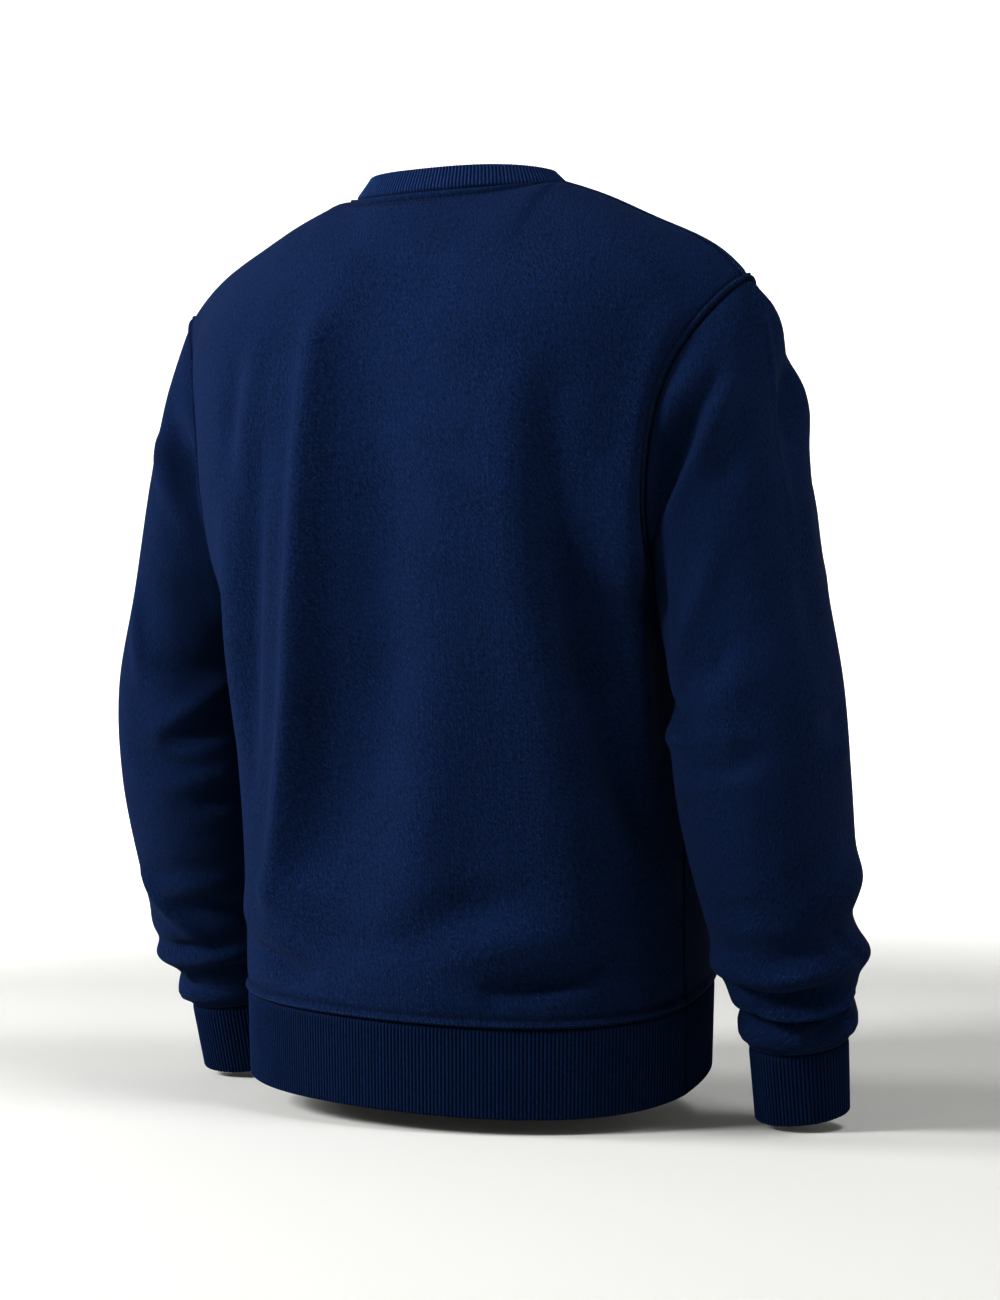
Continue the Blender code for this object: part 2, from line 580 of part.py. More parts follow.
def panel_band(grid, with_shoulder):
    """Raised bands on a body panel: hem, armholes and neckline, and the shoulders if it has them.

    The armhole's band lies flat right under the arm."""
    band = np.zeros(grid.shape[:2])
    band[:2] = BAND_HEIGHT
    band[BODY_ROWS_BELOW + FLAT_BAND_ROWS:, :2] = BAND_HEIGHT
    band[BODY_ROWS_BELOW + FLAT_BAND_ROWS:, -2:] = BAND_HEIGHT
    neck = 2 + SHOULDER_COLUMNS
    band[-2:, neck:-neck] = BAND_HEIGHT
    if with_shoulder:
        band[-2:] = BAND_HEIGHT
    return band


def bridge(points, first, second, first_at, second_at, flip):
    """Triangles between two runs of point numbers, matched by their places along the edge.

    A square is split from its lower outer corner, so that both sides of a seam split alike."""
    triangles = []
    i = j = 0
    while i < len(first) - 1 or j < len(second) - 1:
        if i == len(first) - 1 or j == len(second) - 1:
            step_first = j == len(second) - 1
        elif first_at[i] == second_at[j] and first_at[i + 1] == second_at[j + 1]:
            step_first = points[first[i + 1], 2] < points[first[i], 2]
        else:
            step_first = first_at[i + 1] <= (second_at[j] + second_at[j + 1]) / 2
        if step_first:
            triangles.append((first[i + 1], first[i], second[j]))
            i += 1
        else:
            triangles.append((second[j], second[j + 1], first[i]))
            j += 1
    if flip:
        triangles = [triangle[::-1] for triangle in triangles]
    return triangles


def skin(numbers, points, flip):
    """Triangles of a grid of points, each square split along its shorter diagonal."""
    triangles = []
    for r in range(numbers.shape[0] - 1):
        for c in range(numbers.shape[1] - 1):
            a, b = numbers[r, c], numbers[r, c + 1]
            d, e = numbers[r + 1, c], numbers[r + 1, c + 1]
            if np.linalg.norm(points[a] - points[e]) <= np.linalg.norm(points[b] - points[d]):
                triangles += [(a, b, e), (a, e, d)]
            else:
                triangles += [(a, b, d), (b, e, d)]
    if flip:
        triangles = [triangle[::-1] for triangle in triangles]
    return triangles


def numbered(grid, start, closed):
    """Point numbers of a grid, with the first column again at the end of a tube."""
    numbers = start + np.arange(grid.shape[0] * grid.shape[1]).reshape(grid.shape[:2])
    return np.concatenate([numbers, numbers[:, :1]], axis=1) if closed else numbers


def wall(outer, inner, outer_at, inner_at, closed):
    """Closed wall between an outer and an inner grid, which may have different counts.

    outer_at and inner_at hold each grid's row places and column places."""
    points = np.concatenate([outer.reshape(-1, 3), inner.reshape(-1, 3)])
    outside = numbered(outer, 0, closed)
    inside = numbered(inner, outer.shape[0] * outer.shape[1], closed)
    triangles = skin(outside, points, False) + skin(inside, points, True)
    rows, columns = 0, 1
    places = (outer_at[columns], inner_at[columns])
    triangles += bridge(points, outside[0], inside[0], *places, False)
    triangles += bridge(points, outside[-1], inside[-1], *places, True)
    if not closed:
        places = (outer_at[rows], inner_at[rows])
        triangles += bridge(points, outside[:, 0], inside[:, 0], *places, True)
        triangles += bridge(points, outside[:, -1], inside[:, -1], *places, False)
    corners = points[np.array(triangles)]
    volume = np.einsum("ij,ij->", corners[:, 0], np.cross(corners[:, 1], corners[:, 2]))
    if volume < 0:
        triangles = [triangle[::-1] for triangle in triangles]
    return points, triangles


def drawn_edge(edge, next_in, lift, closed):
    """Edge points moved back into their piece until they are half a seam gap off the seam."""
    step = next_in - edge
    step /= np.linalg.norm(step, axis=1)[:, None]
    if closed:
        along = np.roll(edge, -1, axis=0) - np.roll(edge, 1, axis=0)
    else:
        along = np.gradient(edge, axis=0)
    face = np.cross(along, lift)
    face /= np.linalg.norm(face, axis=1)[:, None]
    slant = np.abs(np.einsum("ij,ij->i", step, face))
    return edge + step * (SEAM_GAP / 2 / np.maximum(slant, LEAST_SLANT))[:, None]


def drawn_back(grid, lift, closed):
    """Grid with its edges drawn back, so that pieces stay apart."""
    grid = grid.copy()
    for edge, next_in in ((0, 1), (-1, -2)):
        grid[edge] = drawn_edge(grid[edge], grid[next_in], lift[edge], closed)
        if not closed:
            side, beside = grid[:, edge], grid[:, next_in]
            grid[:, edge] = drawn_edge(side, beside, lift[:, edge], False)
    return grid


def fleece_wall(grid, lift, relief, band, closed):
    """Wall of a fleece piece. The bands are raised on the outside alone, less in tight seams."""
    base = drawn_back(grid, lift, closed)
    if not closed:
        armpits = base[BODY_ROWS_BELOW, [0, -1]]
        step = base[BODY_ROWS_BELOW - 1, [0, -1]] - armpits
        step /= np.linalg.norm(step, axis=1)[:, None]
        base[BODY_ROWS_BELOW, [0, -1]] = armpits + step * SEAM_GAP
    stretch = np.linalg.norm(lift, axis=2)
    outer = base + lift * (relief + band / stretch**2)[:, :, None]
    inner = base + lift * (relief - FLEECE_WALL)[:, :, None]
    count = grid.shape[1]
    last_row, last_column = grid.shape[0] - 1, count if closed else count - 1
    columns = [c for c in range(last_column + 1) if c not in (1, last_column - 1)]
    if closed:
        rows = [r for r in range(last_row + 1) if r != last_row - 1]
        inner = inner[np.ix_(rows, columns[:-1])]
    else:
        rows = [r for r in range(last_row + 1) if r not in (1, last_row - 1)]
        inner = inner[np.ix_(rows, columns)]
    outer_at, inner_at = (range(last_row + 1), range(last_column + 1)), (rows, columns)
    return wall(outer, inner, outer_at, inner_at, closed)


def along_row(row, place):
    """Values of a row of points at fractional column numbers."""
    columns = np.arange(len(row))
    return np.stack([np.interp(place, columns, row[:, k]) for k in range(3)], axis=1)


def rib_wall(grid, lift, closed):
    """Wall of a rib piece: ribs stand on the outside, over a plain inside."""
    base = drawn_back(grid, lift, closed)
    if closed:
        base = np.concatenate([base, base[:, :1]], axis=1)
        lift = np.concatenate([lift, lift[:, :1]], axis=1)
    run = lengths(base[0])
    sparse = int(round(run[-1] / RIB_PITCH / RIBS_PER_INNER_COLUMN))
    points = sparse * 2 * RIBS_PER_INNER_COLUMN
    stops = np.linspace(0, run[-1], points + 1)
    place = np.interp(stops, run, np.arange(len(run)))
    raised = RIB_HEIGHT * (np.arange(points + 1) % 2)
    base = np.array([along_row(row, place) for row in base])
    lift = np.array([along_row(row, place) for row in lift])
    outer = base + lift * raised[:, None]
    inner = (base - lift * RIB_WALL)[:, ::2 * RIBS_PER_INNER_COLUMN]
    if closed:
        outer, inner = outer[:, :-1], inner[:, :-1]
    rows = range(len(grid))
    return wall(outer, inner, (rows, stops), (rows, stops[::2 * RIBS_PER_INNER_COLUMN]), closed)


def linear_colour(code):
    """Linear colour from an sRGB hex code."""
    channels = [int(code[k:k + 2], 16) / 255 for k in (1, 3, 5)]
    return [c / 12.92 if c <= 0.04045 else ((c + 0.055) / 1.055) ** 2.4 for c in channels]


def add_piece(name, points, triangles, roughness):
    """A closed cloth solid as its own named object with its own material."""
    mesh = bpy.data.meshes.new(name)
    mesh.from_pydata(points.tolist(), [], [tuple(int(n) for n in t) for t in triangles])
    mesh.shade_smooth()
    material = bpy.data.materials.new(name)
    material.use_nodes = True
    shader = material.node_tree.nodes["Principled BSDF"]
    shader.inputs["Base Color"].default_value = (*linear_colour(NAVY), 1.0)
    shader.inputs["Roughness"].default_value = roughness
    shader.inputs["Metallic"].default_value = 0.0
    mesh.materials.append(material)
    item = bpy.data.objects.new(name, mesh)
    bpy.context.scene.collection.objects.link(item)
    return item


for old in list(bpy.data.objects):
    bpy.data.objects.remove(old, do_unlink=True)

# Base surfaces. The right sleeve is the mirrored left one before its own folds.
back, front = body_panels()
left_armhole = armhole_ring(back, front, -1)
outward = armhole_ring(grid_normals(back, False, -1), grid_normals(front, False, 1), -1)
left_sleeve, sleeve_angles, left_cuff = sleeve_grids(left_armhole, outward)
mirror = np.array([-1, 1, 1])
collar = collar_grid(neck_ring(back, front))

grids = {
    "back_panel": back,
    "front_panel": front,
    "left_sleeve": left_sleeve,
    "right_sleeve": left_sleeve * mirror,
    "neck_rib": collar,
    "hem_rib_back": hem_grid(back),
    "hem_rib_front": hem_grid(front),
    "left_cuff": left_cuff,
    "right_cuff": left_cuff * mirror,
}
facing = {
    "back_panel": -1,
    "front_panel": 1,
    "left_sleeve": -1,
    "right_sleeve": 1,
    "neck_rib": -1,
    "hem_rib_back": 1,
    "hem_rib_front": -1,
    "left_cuff": -1,
    "right_cuff": 1,
}
tubes = ("left_sleeve", "right_sleeve", "neck_rib", "left_cuff", "right_cuff")
plain = {name: grid_normals(grids[name], name in tubes, facing[name]) for name in grids}
for name in ("back_panel", "front_panel"):
    ease_corners(plain[name])
offsets = share_normals(grids, plain)

reliefs = {
    "back_panel": panel_relief(back, BACK_FOLDS),
    "front_panel": panel_relief(front, FRONT_FOLDS),
    "left_sleeve": sleeve_relief(left_sleeve, sleeve_angles, LEFT_SLEEVE_FOLDS),
    "right_sleeve": sleeve_relief(left_sleeve, sleeve_angles, RIGHT_SLEEVE_FOLDS),
}
sleeve_band = np.zeros(left_sleeve.shape[:2])
sleeve_band[-2:] = BAND_HEIGHT
bands = {
    "back_panel": panel_band(back, True),
    "front_panel": panel_band(front, False),
    "left_sleeve": sleeve_band,
    "right_sleeve": sleeve_band,
}
for name, grid in grids.items():
    if name in reliefs:
        solid = fleece_wall(grid, offsets[name], reliefs[name], bands[name], name in tubes)
        add_piece(name, *solid, FLEECE_ROUGHNESS)
    else:
        add_piece(name, *rib_wall(grid, offsets[name], name in tubes), RIB_ROUGHNESS)
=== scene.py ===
"""Looks of a crewneck sweatshirt in brushed cotton fleece, one section per sewn piece."""
import math

import bpy
import numpy as np
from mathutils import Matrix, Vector


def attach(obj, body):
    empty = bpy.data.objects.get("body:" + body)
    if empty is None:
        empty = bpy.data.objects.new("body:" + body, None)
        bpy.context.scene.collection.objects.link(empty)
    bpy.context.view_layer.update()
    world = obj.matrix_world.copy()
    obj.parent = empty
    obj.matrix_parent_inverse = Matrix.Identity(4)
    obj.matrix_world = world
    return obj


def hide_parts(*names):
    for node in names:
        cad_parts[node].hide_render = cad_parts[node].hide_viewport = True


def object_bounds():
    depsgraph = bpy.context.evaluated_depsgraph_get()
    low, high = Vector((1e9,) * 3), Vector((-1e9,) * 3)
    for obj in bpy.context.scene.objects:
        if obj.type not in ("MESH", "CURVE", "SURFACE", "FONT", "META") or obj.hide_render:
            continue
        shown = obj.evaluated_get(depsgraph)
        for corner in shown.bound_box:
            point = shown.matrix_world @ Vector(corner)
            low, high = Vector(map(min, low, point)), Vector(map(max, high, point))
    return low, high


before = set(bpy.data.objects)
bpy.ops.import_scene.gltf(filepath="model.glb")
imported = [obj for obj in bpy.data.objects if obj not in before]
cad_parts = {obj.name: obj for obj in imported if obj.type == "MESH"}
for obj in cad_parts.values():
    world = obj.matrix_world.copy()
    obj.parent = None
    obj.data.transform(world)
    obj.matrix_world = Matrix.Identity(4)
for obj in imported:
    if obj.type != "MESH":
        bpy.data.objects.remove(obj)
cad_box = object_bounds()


# ---------------------------------------------------------------- camera
# A portrait lens behind the wearer's right shoulder, level with the middle of the garment, far
# enough away that the near sleeve looks hardly larger than the far one.
BACK_VIEW = np.array([-0.5736, 0.8192, 0.0])
UP = np.array([0.0, 0.0, 1.0])
CAMERA_DISTANCE = 2.4
CAMERA_HEIGHT = -0.34
CAMERA_LENS = 88.4
CAMERA_SENSOR = 36.0
CAMERA_SHIFT = 0.0154


def add_object(name, data):
    """Adds an object to the scene."""
    item = bpy.data.objects.new(name, data)
    bpy.context.scene.collection.objects.link(item)
    return item


camera = add_object("camera", bpy.data.cameras.new("camera"))
camera.location = Vector(BACK_VIEW * CAMERA_DISTANCE + UP * CAMERA_HEIGHT)
camera.rotation_euler = (-Vector(BACK_VIEW)).to_track_quat("-Z", "Y").to_euler()
camera.data.lens = CAMERA_LENS
camera.data.sensor_width = CAMERA_SENSOR
camera.data.shift_x = CAMERA_SHIFT
bpy.context.scene.camera = camera


# ---------------------------------------------------------------- floor and light
# A pale painted studio sweep that curves up all round, with soft light from the wearer's left.
# Lights over the garment face the sweep, so that it stays white without lighting the cloth.
VIEW_LEFT = np.array([0.8192, 0.5736, 0.0])
FLOOR_COLOUR = "#a8a8a6"
FLOOR_MIDDLE = 0.6
FLOOR_RADIUS = 5.0
FLOOR_CURVE = 2.5
FLOOR_WALL = 4.0
FLOOR_SIDES = 96
FLOOR_CURVE_STEPS = 13
FLOOR_DROP = 0.004
SOFT_LIGHTS = (
    # name, left, back, up, size, power
    ("key_light", 2.95, 1.2, 1.6, 0.9, 190.0),
    ("side_light", 3.2, -0.5, 1.0, 0.8, 108.0),
    ("top_light", -1.3, 1.3, 3.0, 1.2, 84.0),
)
WALL_LIGHTS = 6
WALL_LIGHT_RING = 2.5
WALL_LIGHT_HEIGHT = 2.3
WALL_LIGHT_SIZE = 1.5
WALL_LIGHT_DIP = 0.55
WALL_LIGHT_POWER = 390.0
SKY_LIGHT = 0.15
EXPOSURE = 0.30
GAMMA = 0.8


def linear(code):
    """Linear colour, with full alpha, from an sRGB hex code."""
    channels = [int(code[k:k + 2], 16) / 255 for k in (1, 3, 5)]
    return [c / 12.92 if c <= 0.04045 else ((c + 0.055) / 1.055) ** 2.4 for c in channels] + [1.0]


def new_material(name):
    """A material with a plain Principled shader, and its tree and shader."""
    material = bpy.data.materials.new(name)
    material.use_nodes = True
    tree = material.node_tree
    return material, tree, tree.nodes["Principled BSDF"]


def set_inputs(tree, node, inputs):
    """Sets a node's inputs. An input is a value, or a socket to link from."""
    for place, value in inputs.items():
        if isinstance(value, bpy.types.NodeSocket):
            tree.links.new(value, node.inputs[place])
        else:
            node.inputs[place].default_value = value


def add_floor(height):
    """A round pale floor that turns up into a wall all round, seen from inside."""
    profile = [(FLOOR_MIDDLE, 0.0), (FLOOR_RADIUS / 2, 0.0)]
    for angle in np.radians(np.linspace(0, 90, FLOOR_CURVE_STEPS)):
        out = FLOOR_RADIUS + FLOOR_CURVE * math.sin(angle)
        profile.append((out, FLOOR_CURVE * (1 - math.cos(angle))))
    profile.append((FLOOR_RADIUS + FLOOR_CURVE, FLOOR_WALL))
    around = np.linspace(0, 2 * math.pi, FLOOR_SIDES, endpoint=False)
    points = [(0, 0, height)]
    for out, rise in profile:
        points += [(out * math.cos(a), out * math.sin(a), height + rise) for a in around]
    faces = [(0, 1 + k, 1 + (k + 1) % FLOOR_SIDES) for k in range(FLOOR_SIDES)]
    for ring in range(len(profile) - 1):
        start = 1 + ring * FLOOR_SIDES
        for k in range(FLOOR_SIDES):
            n = (k + 1) % FLOOR_SIDES
            faces.append((start + k, start + FLOOR_SIDES + k, start + FLOOR_SIDES + n, start + n))
    mesh = bpy.data.meshes.new("floor")
    mesh.from_pydata(points, [], faces)
    mesh.shade_smooth()
    return add_object("floor", mesh)


def add_light(name, place, towards, size, power):
    """A square soft light at a place, facing a direction."""
    data = bpy.data.lights.new(name, "AREA")
    data.shape = "SQUARE"
    data.size = size
    data.energy = power
    item = add_object(name, data)
    item.location = Vector(place)
    item.rotation_euler = Vector(towards).to_track_quat("-Z", "Y").to_euler()


floor = add_floor(float(cad_box[0][2]) - FLOOR_DROP)
floor_material, floor_tree, floor_shader = new_material("studio_floor")
set_inputs(floor_tree, floor_shader, {"Base Color": linear(FLOOR_COLOUR), "Roughness": 0.9})
floor.data.materials.append(floor_material)
for name, left, back, up, size, power in SOFT_LIGHTS:
    away = VIEW_LEFT * left + BACK_VIEW * back + UP * up
    add_light(name, UP * CAMERA_HEIGHT + away, -away, size, power)
for turn in np.linspace(0, 2 * math.pi, WALL_LIGHTS, endpoint=False):
    outward = VIEW_LEFT * math.sin(turn) + BACK_VIEW * math.cos(turn)
    place = outward * WALL_LIGHT_RING + UP * WALL_LIGHT_HEIGHT
    dip = outward - UP * WALL_LIGHT_DIP
    add_light("wall_light", place, dip, WALL_LIGHT_SIZE, WALL_LIGHT_POWER)

world = bpy.data.worlds.new("studio")
world.use_nodes = True
sky = world.node_tree.nodes["Background"]
set_inputs(world.node_tree, sky, {"Color": (1.0, 1.0, 1.0, 1.0), "Strength": SKY_LIGHT})
bpy.context.scene.world = world
bpy.context.scene.view_settings.view_transform = "Standard"
bpy.context.scene.view_settings.exposure = EXPOSURE
bpy.context.scene.view_settings.gamma = GAMMA


# ---------------------------------------------------------------- back and front of the body: form
# Two panels of brushed fleece, sewn at the sides and shoulders, as they hang on a wearer. Each
# is a stack of rounded oblongs from the hem seam to the armpits, then narrower arcs between the
# armholes, and ends on the shoulder seams and the neckline.
BODY_SECTIONS = (
    # side_x, side_y, side_z, back_y, back_z, front_y, front_z, square
    (0.1825, 0.002, -0.5905, 0.1480, -0.6030, -0.1450, -0.5710, 2.10),
    (0.1810, 0.002, -0.5740, 0.1520, -0.5870, -0.1520, -0.5530, 2.15),
    (0.1805, 0.002, -0.5310, 0.1520, -0.5450, -0.1550, -0.5120, 2.20),
    (0.1810, 0.003, -0.4640, 0.1520, -0.4740, -0.1530, -0.4520, 2.30),
    (0.1810, 0.006, -0.3940, 0.1570, -0.3990, -0.1500, -0.3880, 2.45),
    (0.1830, 0.006, -0.3290, 0.1640, -0.3260, -0.1500, -0.3240, 2.60),
)
SIDE_AND_BACK = (0, 1, 2, 3, 4, 7)
SIDE_AND_FRONT = (0, 1, 2, 5, 6, 7)
# Sections above the armpit end on the armhole. spread is how far round the oblong they reach.
BACK_YOKE = (
    # edge_x, edge_y, edge_z, middle_y, middle_z, square, spread
    (0.1930, 0.0600, -0.2880, 0.1660, -0.2700, 2.6, 76.0),
    (0.1985, 0.0840, -0.2350, 0.1640, -0.2060, 2.5, 68.0),
    (0.2080, 0.0835, -0.1690, 0.1510, -0.1350, 2.4, 62.0),
    (0.2260, 0.0665, -0.1200, 0.1260, -0.0720, 2.3, 58.0),
)
FRONT_YOKE = (
    # edge_x, edge_y, edge_z, middle_y, middle_z, square, spread
    (0.1810, -0.0370, -0.2820, -0.1510, -0.2660, 2.5, 76.0),
    (0.1860, -0.0490, -0.2260, -0.1480, -0.2120, 2.4, 68.0),
    (0.2010, -0.0410, -0.1660, -0.1390, -0.1620, 2.3, 62.0),
    (0.2250, -0.0120, -0.1180, -0.1240, -0.1240, 2.2, 58.0),
)
SHOULDER_SEAM = (
    # x, y, z
    (0.0900, 0.017, 0.0000),
    (0.1270, 0.018, -0.0130),
    (0.1680, 0.020, -0.0315),
    (0.2070, 0.023, -0.0485),
    (0.2310, 0.026, -0.0625),
    (0.2520, 0.030, -0.0810),
)
BACK_NECK = (0.0835, -0.0050)
FRONT_NECK = (-0.0980, -0.0850)
NECK_DIP_POWER = 1.3
HEM_SKEW = 0.035
# Points close to a seam stand at these distances from it, and the rest are spread evenly.
EDGE_STOPS = (
    0.0, 0.0006, 0.0012, 0.0020, 0.0029, 0.0037, 0.0044, 0.0050, 0.0056, 0.0064, 0.0078, 0.0105,
    0.0145,
)
# The sewn bands are wider than that at the collar and the hem.
COLLAR_BAND = 1.6
HEM_BAND = 1.35
COLLAR_BAND_EASE = 3
SHOULDER_COLUMNS = 32
NECK_COLUMNS = 46
NECK_CROWDING = 0.4
NECK_EASE = 16
BODY_ROWS = 60
ARMHOLE_ROWS = 58
SIDE_BLEND = 0.030
QUARTER = 90.0
DENSE = 361
NECK_CORNER = len(EDGE_STOPS) - 1 + SHOULDER_COLUMNS
ARMPIT_ROW = len(EDGE_STOPS) - 2 + BODY_ROWS


def smooth(table, places, end=None, swell=0.0):
    """Reads a table of rows, or a stack of curves, at fractional row numbers, smoothly.

    end is the slope at the last row, where a neighbour settles it. swell adds to the first."""
    table = np.asarray(table, float)
    places = np.atleast_1d(np.asarray(places, float))
    slopes = np.gradient(table, axis=0)
    slopes[0] = 2 * (table[1] - table[0]) - slopes[1] + swell
    slopes[-1] = 2 * (table[-1] - table[-2]) - slopes[-2] if end is None else end
    low = np.clip(np.floor(places).astype(int), 0, len(table) - 2)
    part = (places - low).reshape((-1,) + (1,) * (table.ndim - 1))
    before, after = table[low], table[low + 1]
    rise_in, rise_out = slopes[low], slopes[low + 1]
    return (
        before * (2 * part**3 - 3 * part**2 + 1)
        + rise_in * (part**3 - 2 * part**2 + part)
        + after * (3 * part**2 - 2 * part**3)
        + rise_out * (part**3 - part**2)
    )


def ease(value):
    """A share from 0 to 1 with soft ends."""
    value = np.clip(value, 0, 1)
    return value * value * (3 - 2 * value)


def unit(vectors):
    """Vectors at length one."""
    return vectors / np.linalg.norm(vectors, axis=-1, keepdims=True)


def lengths(curve):
    """Distance along a curve at each of its points."""
    steps = np.linalg.norm(np.diff(curve, axis=0), axis=1)
    return np.concatenate(([0.0], np.cumsum(steps)))


def down_columns(grid):
    """Distance down each column of a grid, at every point."""
    steps = np.linalg.norm(np.diff(grid, axis=0), axis=2)
    return np.concatenate([np.zeros((1, grid.shape[1])), np.cumsum(steps, axis=0)])


def at_lengths(curve, distances):
    """Points of a curve at the given distances along it."""
    run = lengths(curve)
    return np.stack([np.interp(distances, run, curve[:, k]) for k in range(3)], axis=1)


def oblong(edge, middle, square, spread):
    """Arc of a rounded oblong from the right edge, over the middle, to the left edge."""
    power = 2.0 / square
    angle = np.radians(spread) * np.linspace(-1, 1, DENSE)
    reach = math.sin(math.radians(spread)) ** power
    floor_level = max(math.cos(math.radians(spread)), 0.0) ** power
    across = np.sign(angle) * np.abs(np.sin(angle)) ** power / reach
    rise = (np.maximum(np.cos(angle), 0.0) ** power - floor_level) / (1 - floor_level)
    depth = edge[1] + (middle[0] - edge[1]) * rise
    height = edge[2] + (middle[1] - edge[2]) * rise * (2 - rise)
    return np.stack([edge[0] * across, depth, height], axis=1)


def top_edge(neck_y, neck_z):
    """Right shoulder seam, neckline and left shoulder seam as one curve, and the neck's place."""
    seam = smooth(SHOULDER_SEAM, np.linspace(0, len(SHOULDER_SEAM) - 1, DENSE))
    turn = np.radians(np.linspace(-QUARTER, QUARTER, DENSE)[1:-1])
    neck_x, side_y, side_z = SHOULDER_SEAM[0]
    level = np.cos(turn)
    depth = side_y + (neck_y - side_y) * level
    height = side_z + (neck_z - side_z) * level**NECK_DIP_POWER
    neckline = np.stack([neck_x * np.sin(turn), depth, height], axis=1)
    return np.concatenate([seam[::-1] * (-1, 1, 1), neckline, seam]), lengths(seam)[-1]


def panel_keys(side_columns, yoke, neck):
    """Key rows of a body panel, each with its points spread and matched from row to row."""
    curves = []
    for side_x, side_y, side_z, middle_y, middle_z, square in side_columns:
        curves.append(oblong((side_x, side_y, side_z), (middle_y, middle_z), square, QUARTER))
    for edge_x, edge_y, edge_z, middle_y, middle_z, square, spread in yoke:
        curves.append(oblong((edge_x, edge_y, edge_z), (middle_y, middle_z), square, spread))
    top, shoulder_length = top_edge(*neck)
    curves.append(top)
    border = EDGE_STOPS[-1]
    whole = lengths(top)[-1]
    shoulder = np.linspace(border, shoulder_length, SHOULDER_COLUMNS + 1)
    even = np.linspace(0, 1, NECK_COLUMNS + 1)
    crowded = even + NECK_CROWDING * ((1 - np.cos(np.pi * even)) / 2 - even)
    neckline = shoulder_length + (whole - 2 * shoulder_length) * crowded
    inside = np.concatenate([shoulder[:-1], neckline, whole - shoulder[-2::-1]])
    rows = []
    for curve in curves:
        length = lengths(curve)[-1]
        scaled = border + (inside - border) * (length - 2 * border) / (whole - 2 * border)
        near = np.array(EDGE_STOPS[:-1])
        rows.append(at_lengths(curve, np.concatenate([near, scaled, length - near[::-1]])))
    keys = np.array(rows)
    count = len(side_columns)
    hang = np.maximum(1 - np.arange(count) / (count - 2), 0)[:, None]
    keys[:count, :, 2] += HEM_SKEW * hang * keys[:count, :, 0]
    return keys


def band_widths(columns):
    """Width of the sewn band in every column, against the plain one: wider at the collar."""
    column = np.minimum(np.arange(columns), np.arange(columns)[::-1])
    return 1 + (COLLAR_BAND - 1) * ease((column - NECK_CORNER + 1) / COLLAR_BAND_EASE)


def row_places(keys, armpit):
    """Key-row numbers of every mesh row in every column."""
    wide = band_widths(keys.shape[1])
    first = np.linalg.norm(keys[1] - keys[0], axis=1)
    last = np.linalg.norm(keys[-1] - keys[-2], axis=1)
    top = len(keys) - 1
    low = EDGE_STOPS[-1] * HEM_BAND / first
    high = top - EDGE_STOPS[-1] * wide / last
    places = [stop * HEM_BAND / first for stop in EDGE_STOPS[:-1]]
    places += [low + (armpit - low) * step for step in np.linspace(0, 1, BODY_ROWS)]
    upper = np.linspace(0, 1, ARMHOLE_ROWS)[1:]
    places += [armpit + (high - armpit) * step for step in upper]
    places += [top - stop * wide / last for stop in EDGE_STOPS[-2::-1]]
    return np.array(places)


def end_slopes(keys, other_keys):
    """Slope of each column at the top. Along the shoulder seams both panels share a plane."""
    last, other = (2 * (k[-1] - k[-2]) - (k[-1] - k[-3]) / 2 for k in (keys, other_keys))
    joined = NECK_CORNER + 1
    along = unit(np.diff(keys[-1], axis=0))
    right = np.concatenate([along[:joined - 1], along[joined - 2:joined - 1]])
    left = np.concatenate([along[1 - joined:2 - joined], along[1 - joined:]])
    before = last.copy()
    for columns, seam in ((slice(0, joined), right), (slice(-joined, None), left)):
        level = (last[columns] - other[columns]) / 2
        shared = (last[columns] + other[columns]) / 2
        last[columns] = level + seam * np.einsum("ij,ij->i", shared, seam)[:, None]
    change = last - before
    eased = 1 - ease(np.arange(1, NECK_EASE) / NECK_EASE)[:, None]
    last[joined:joined + NECK_EASE - 1] += change[joined - 1] * eased
    last[-joined - NECK_EASE + 1:-joined] += change[-joined] * eased[::-1]
    return last


def panel_grid(keys, other_keys, armpit):
    """Surface of a body panel: rows from the hem seam up, columns from right to left."""
    places = row_places(keys, armpit)
    ends = end_slopes(keys, other_keys)
    run = lengths(keys[armpit])
    beside = 1 - ease(np.minimum(run, run[-1] - run) / SIDE_BLEND)
    columns = []
    for c in range(keys.shape[1]):
        column = smooth(keys[:, c], places[:, c], ends[c])
        below = places[:, c] <= armpit
        seam = smooth(keys[:armpit + 1, c], places[below, c])
        column[below] += (seam - column[below]) * beside[c]
        columns.append(column)
    return np.stack(columns, axis=1)


table = np.array(BODY_SECTIONS)
armpit_key = len(BODY_SECTIONS) - 1
back_keys = panel_keys(table[:, SIDE_AND_BACK], BACK_YOKE, BACK_NECK)
front_keys = panel_keys(table[:, SIDE_AND_FRONT], FRONT_YOKE, FRONT_NECK)
back_form = panel_grid(back_keys, front_keys, armpit_key)
front_form = panel_grid(front_keys, back_keys, armpit_key)


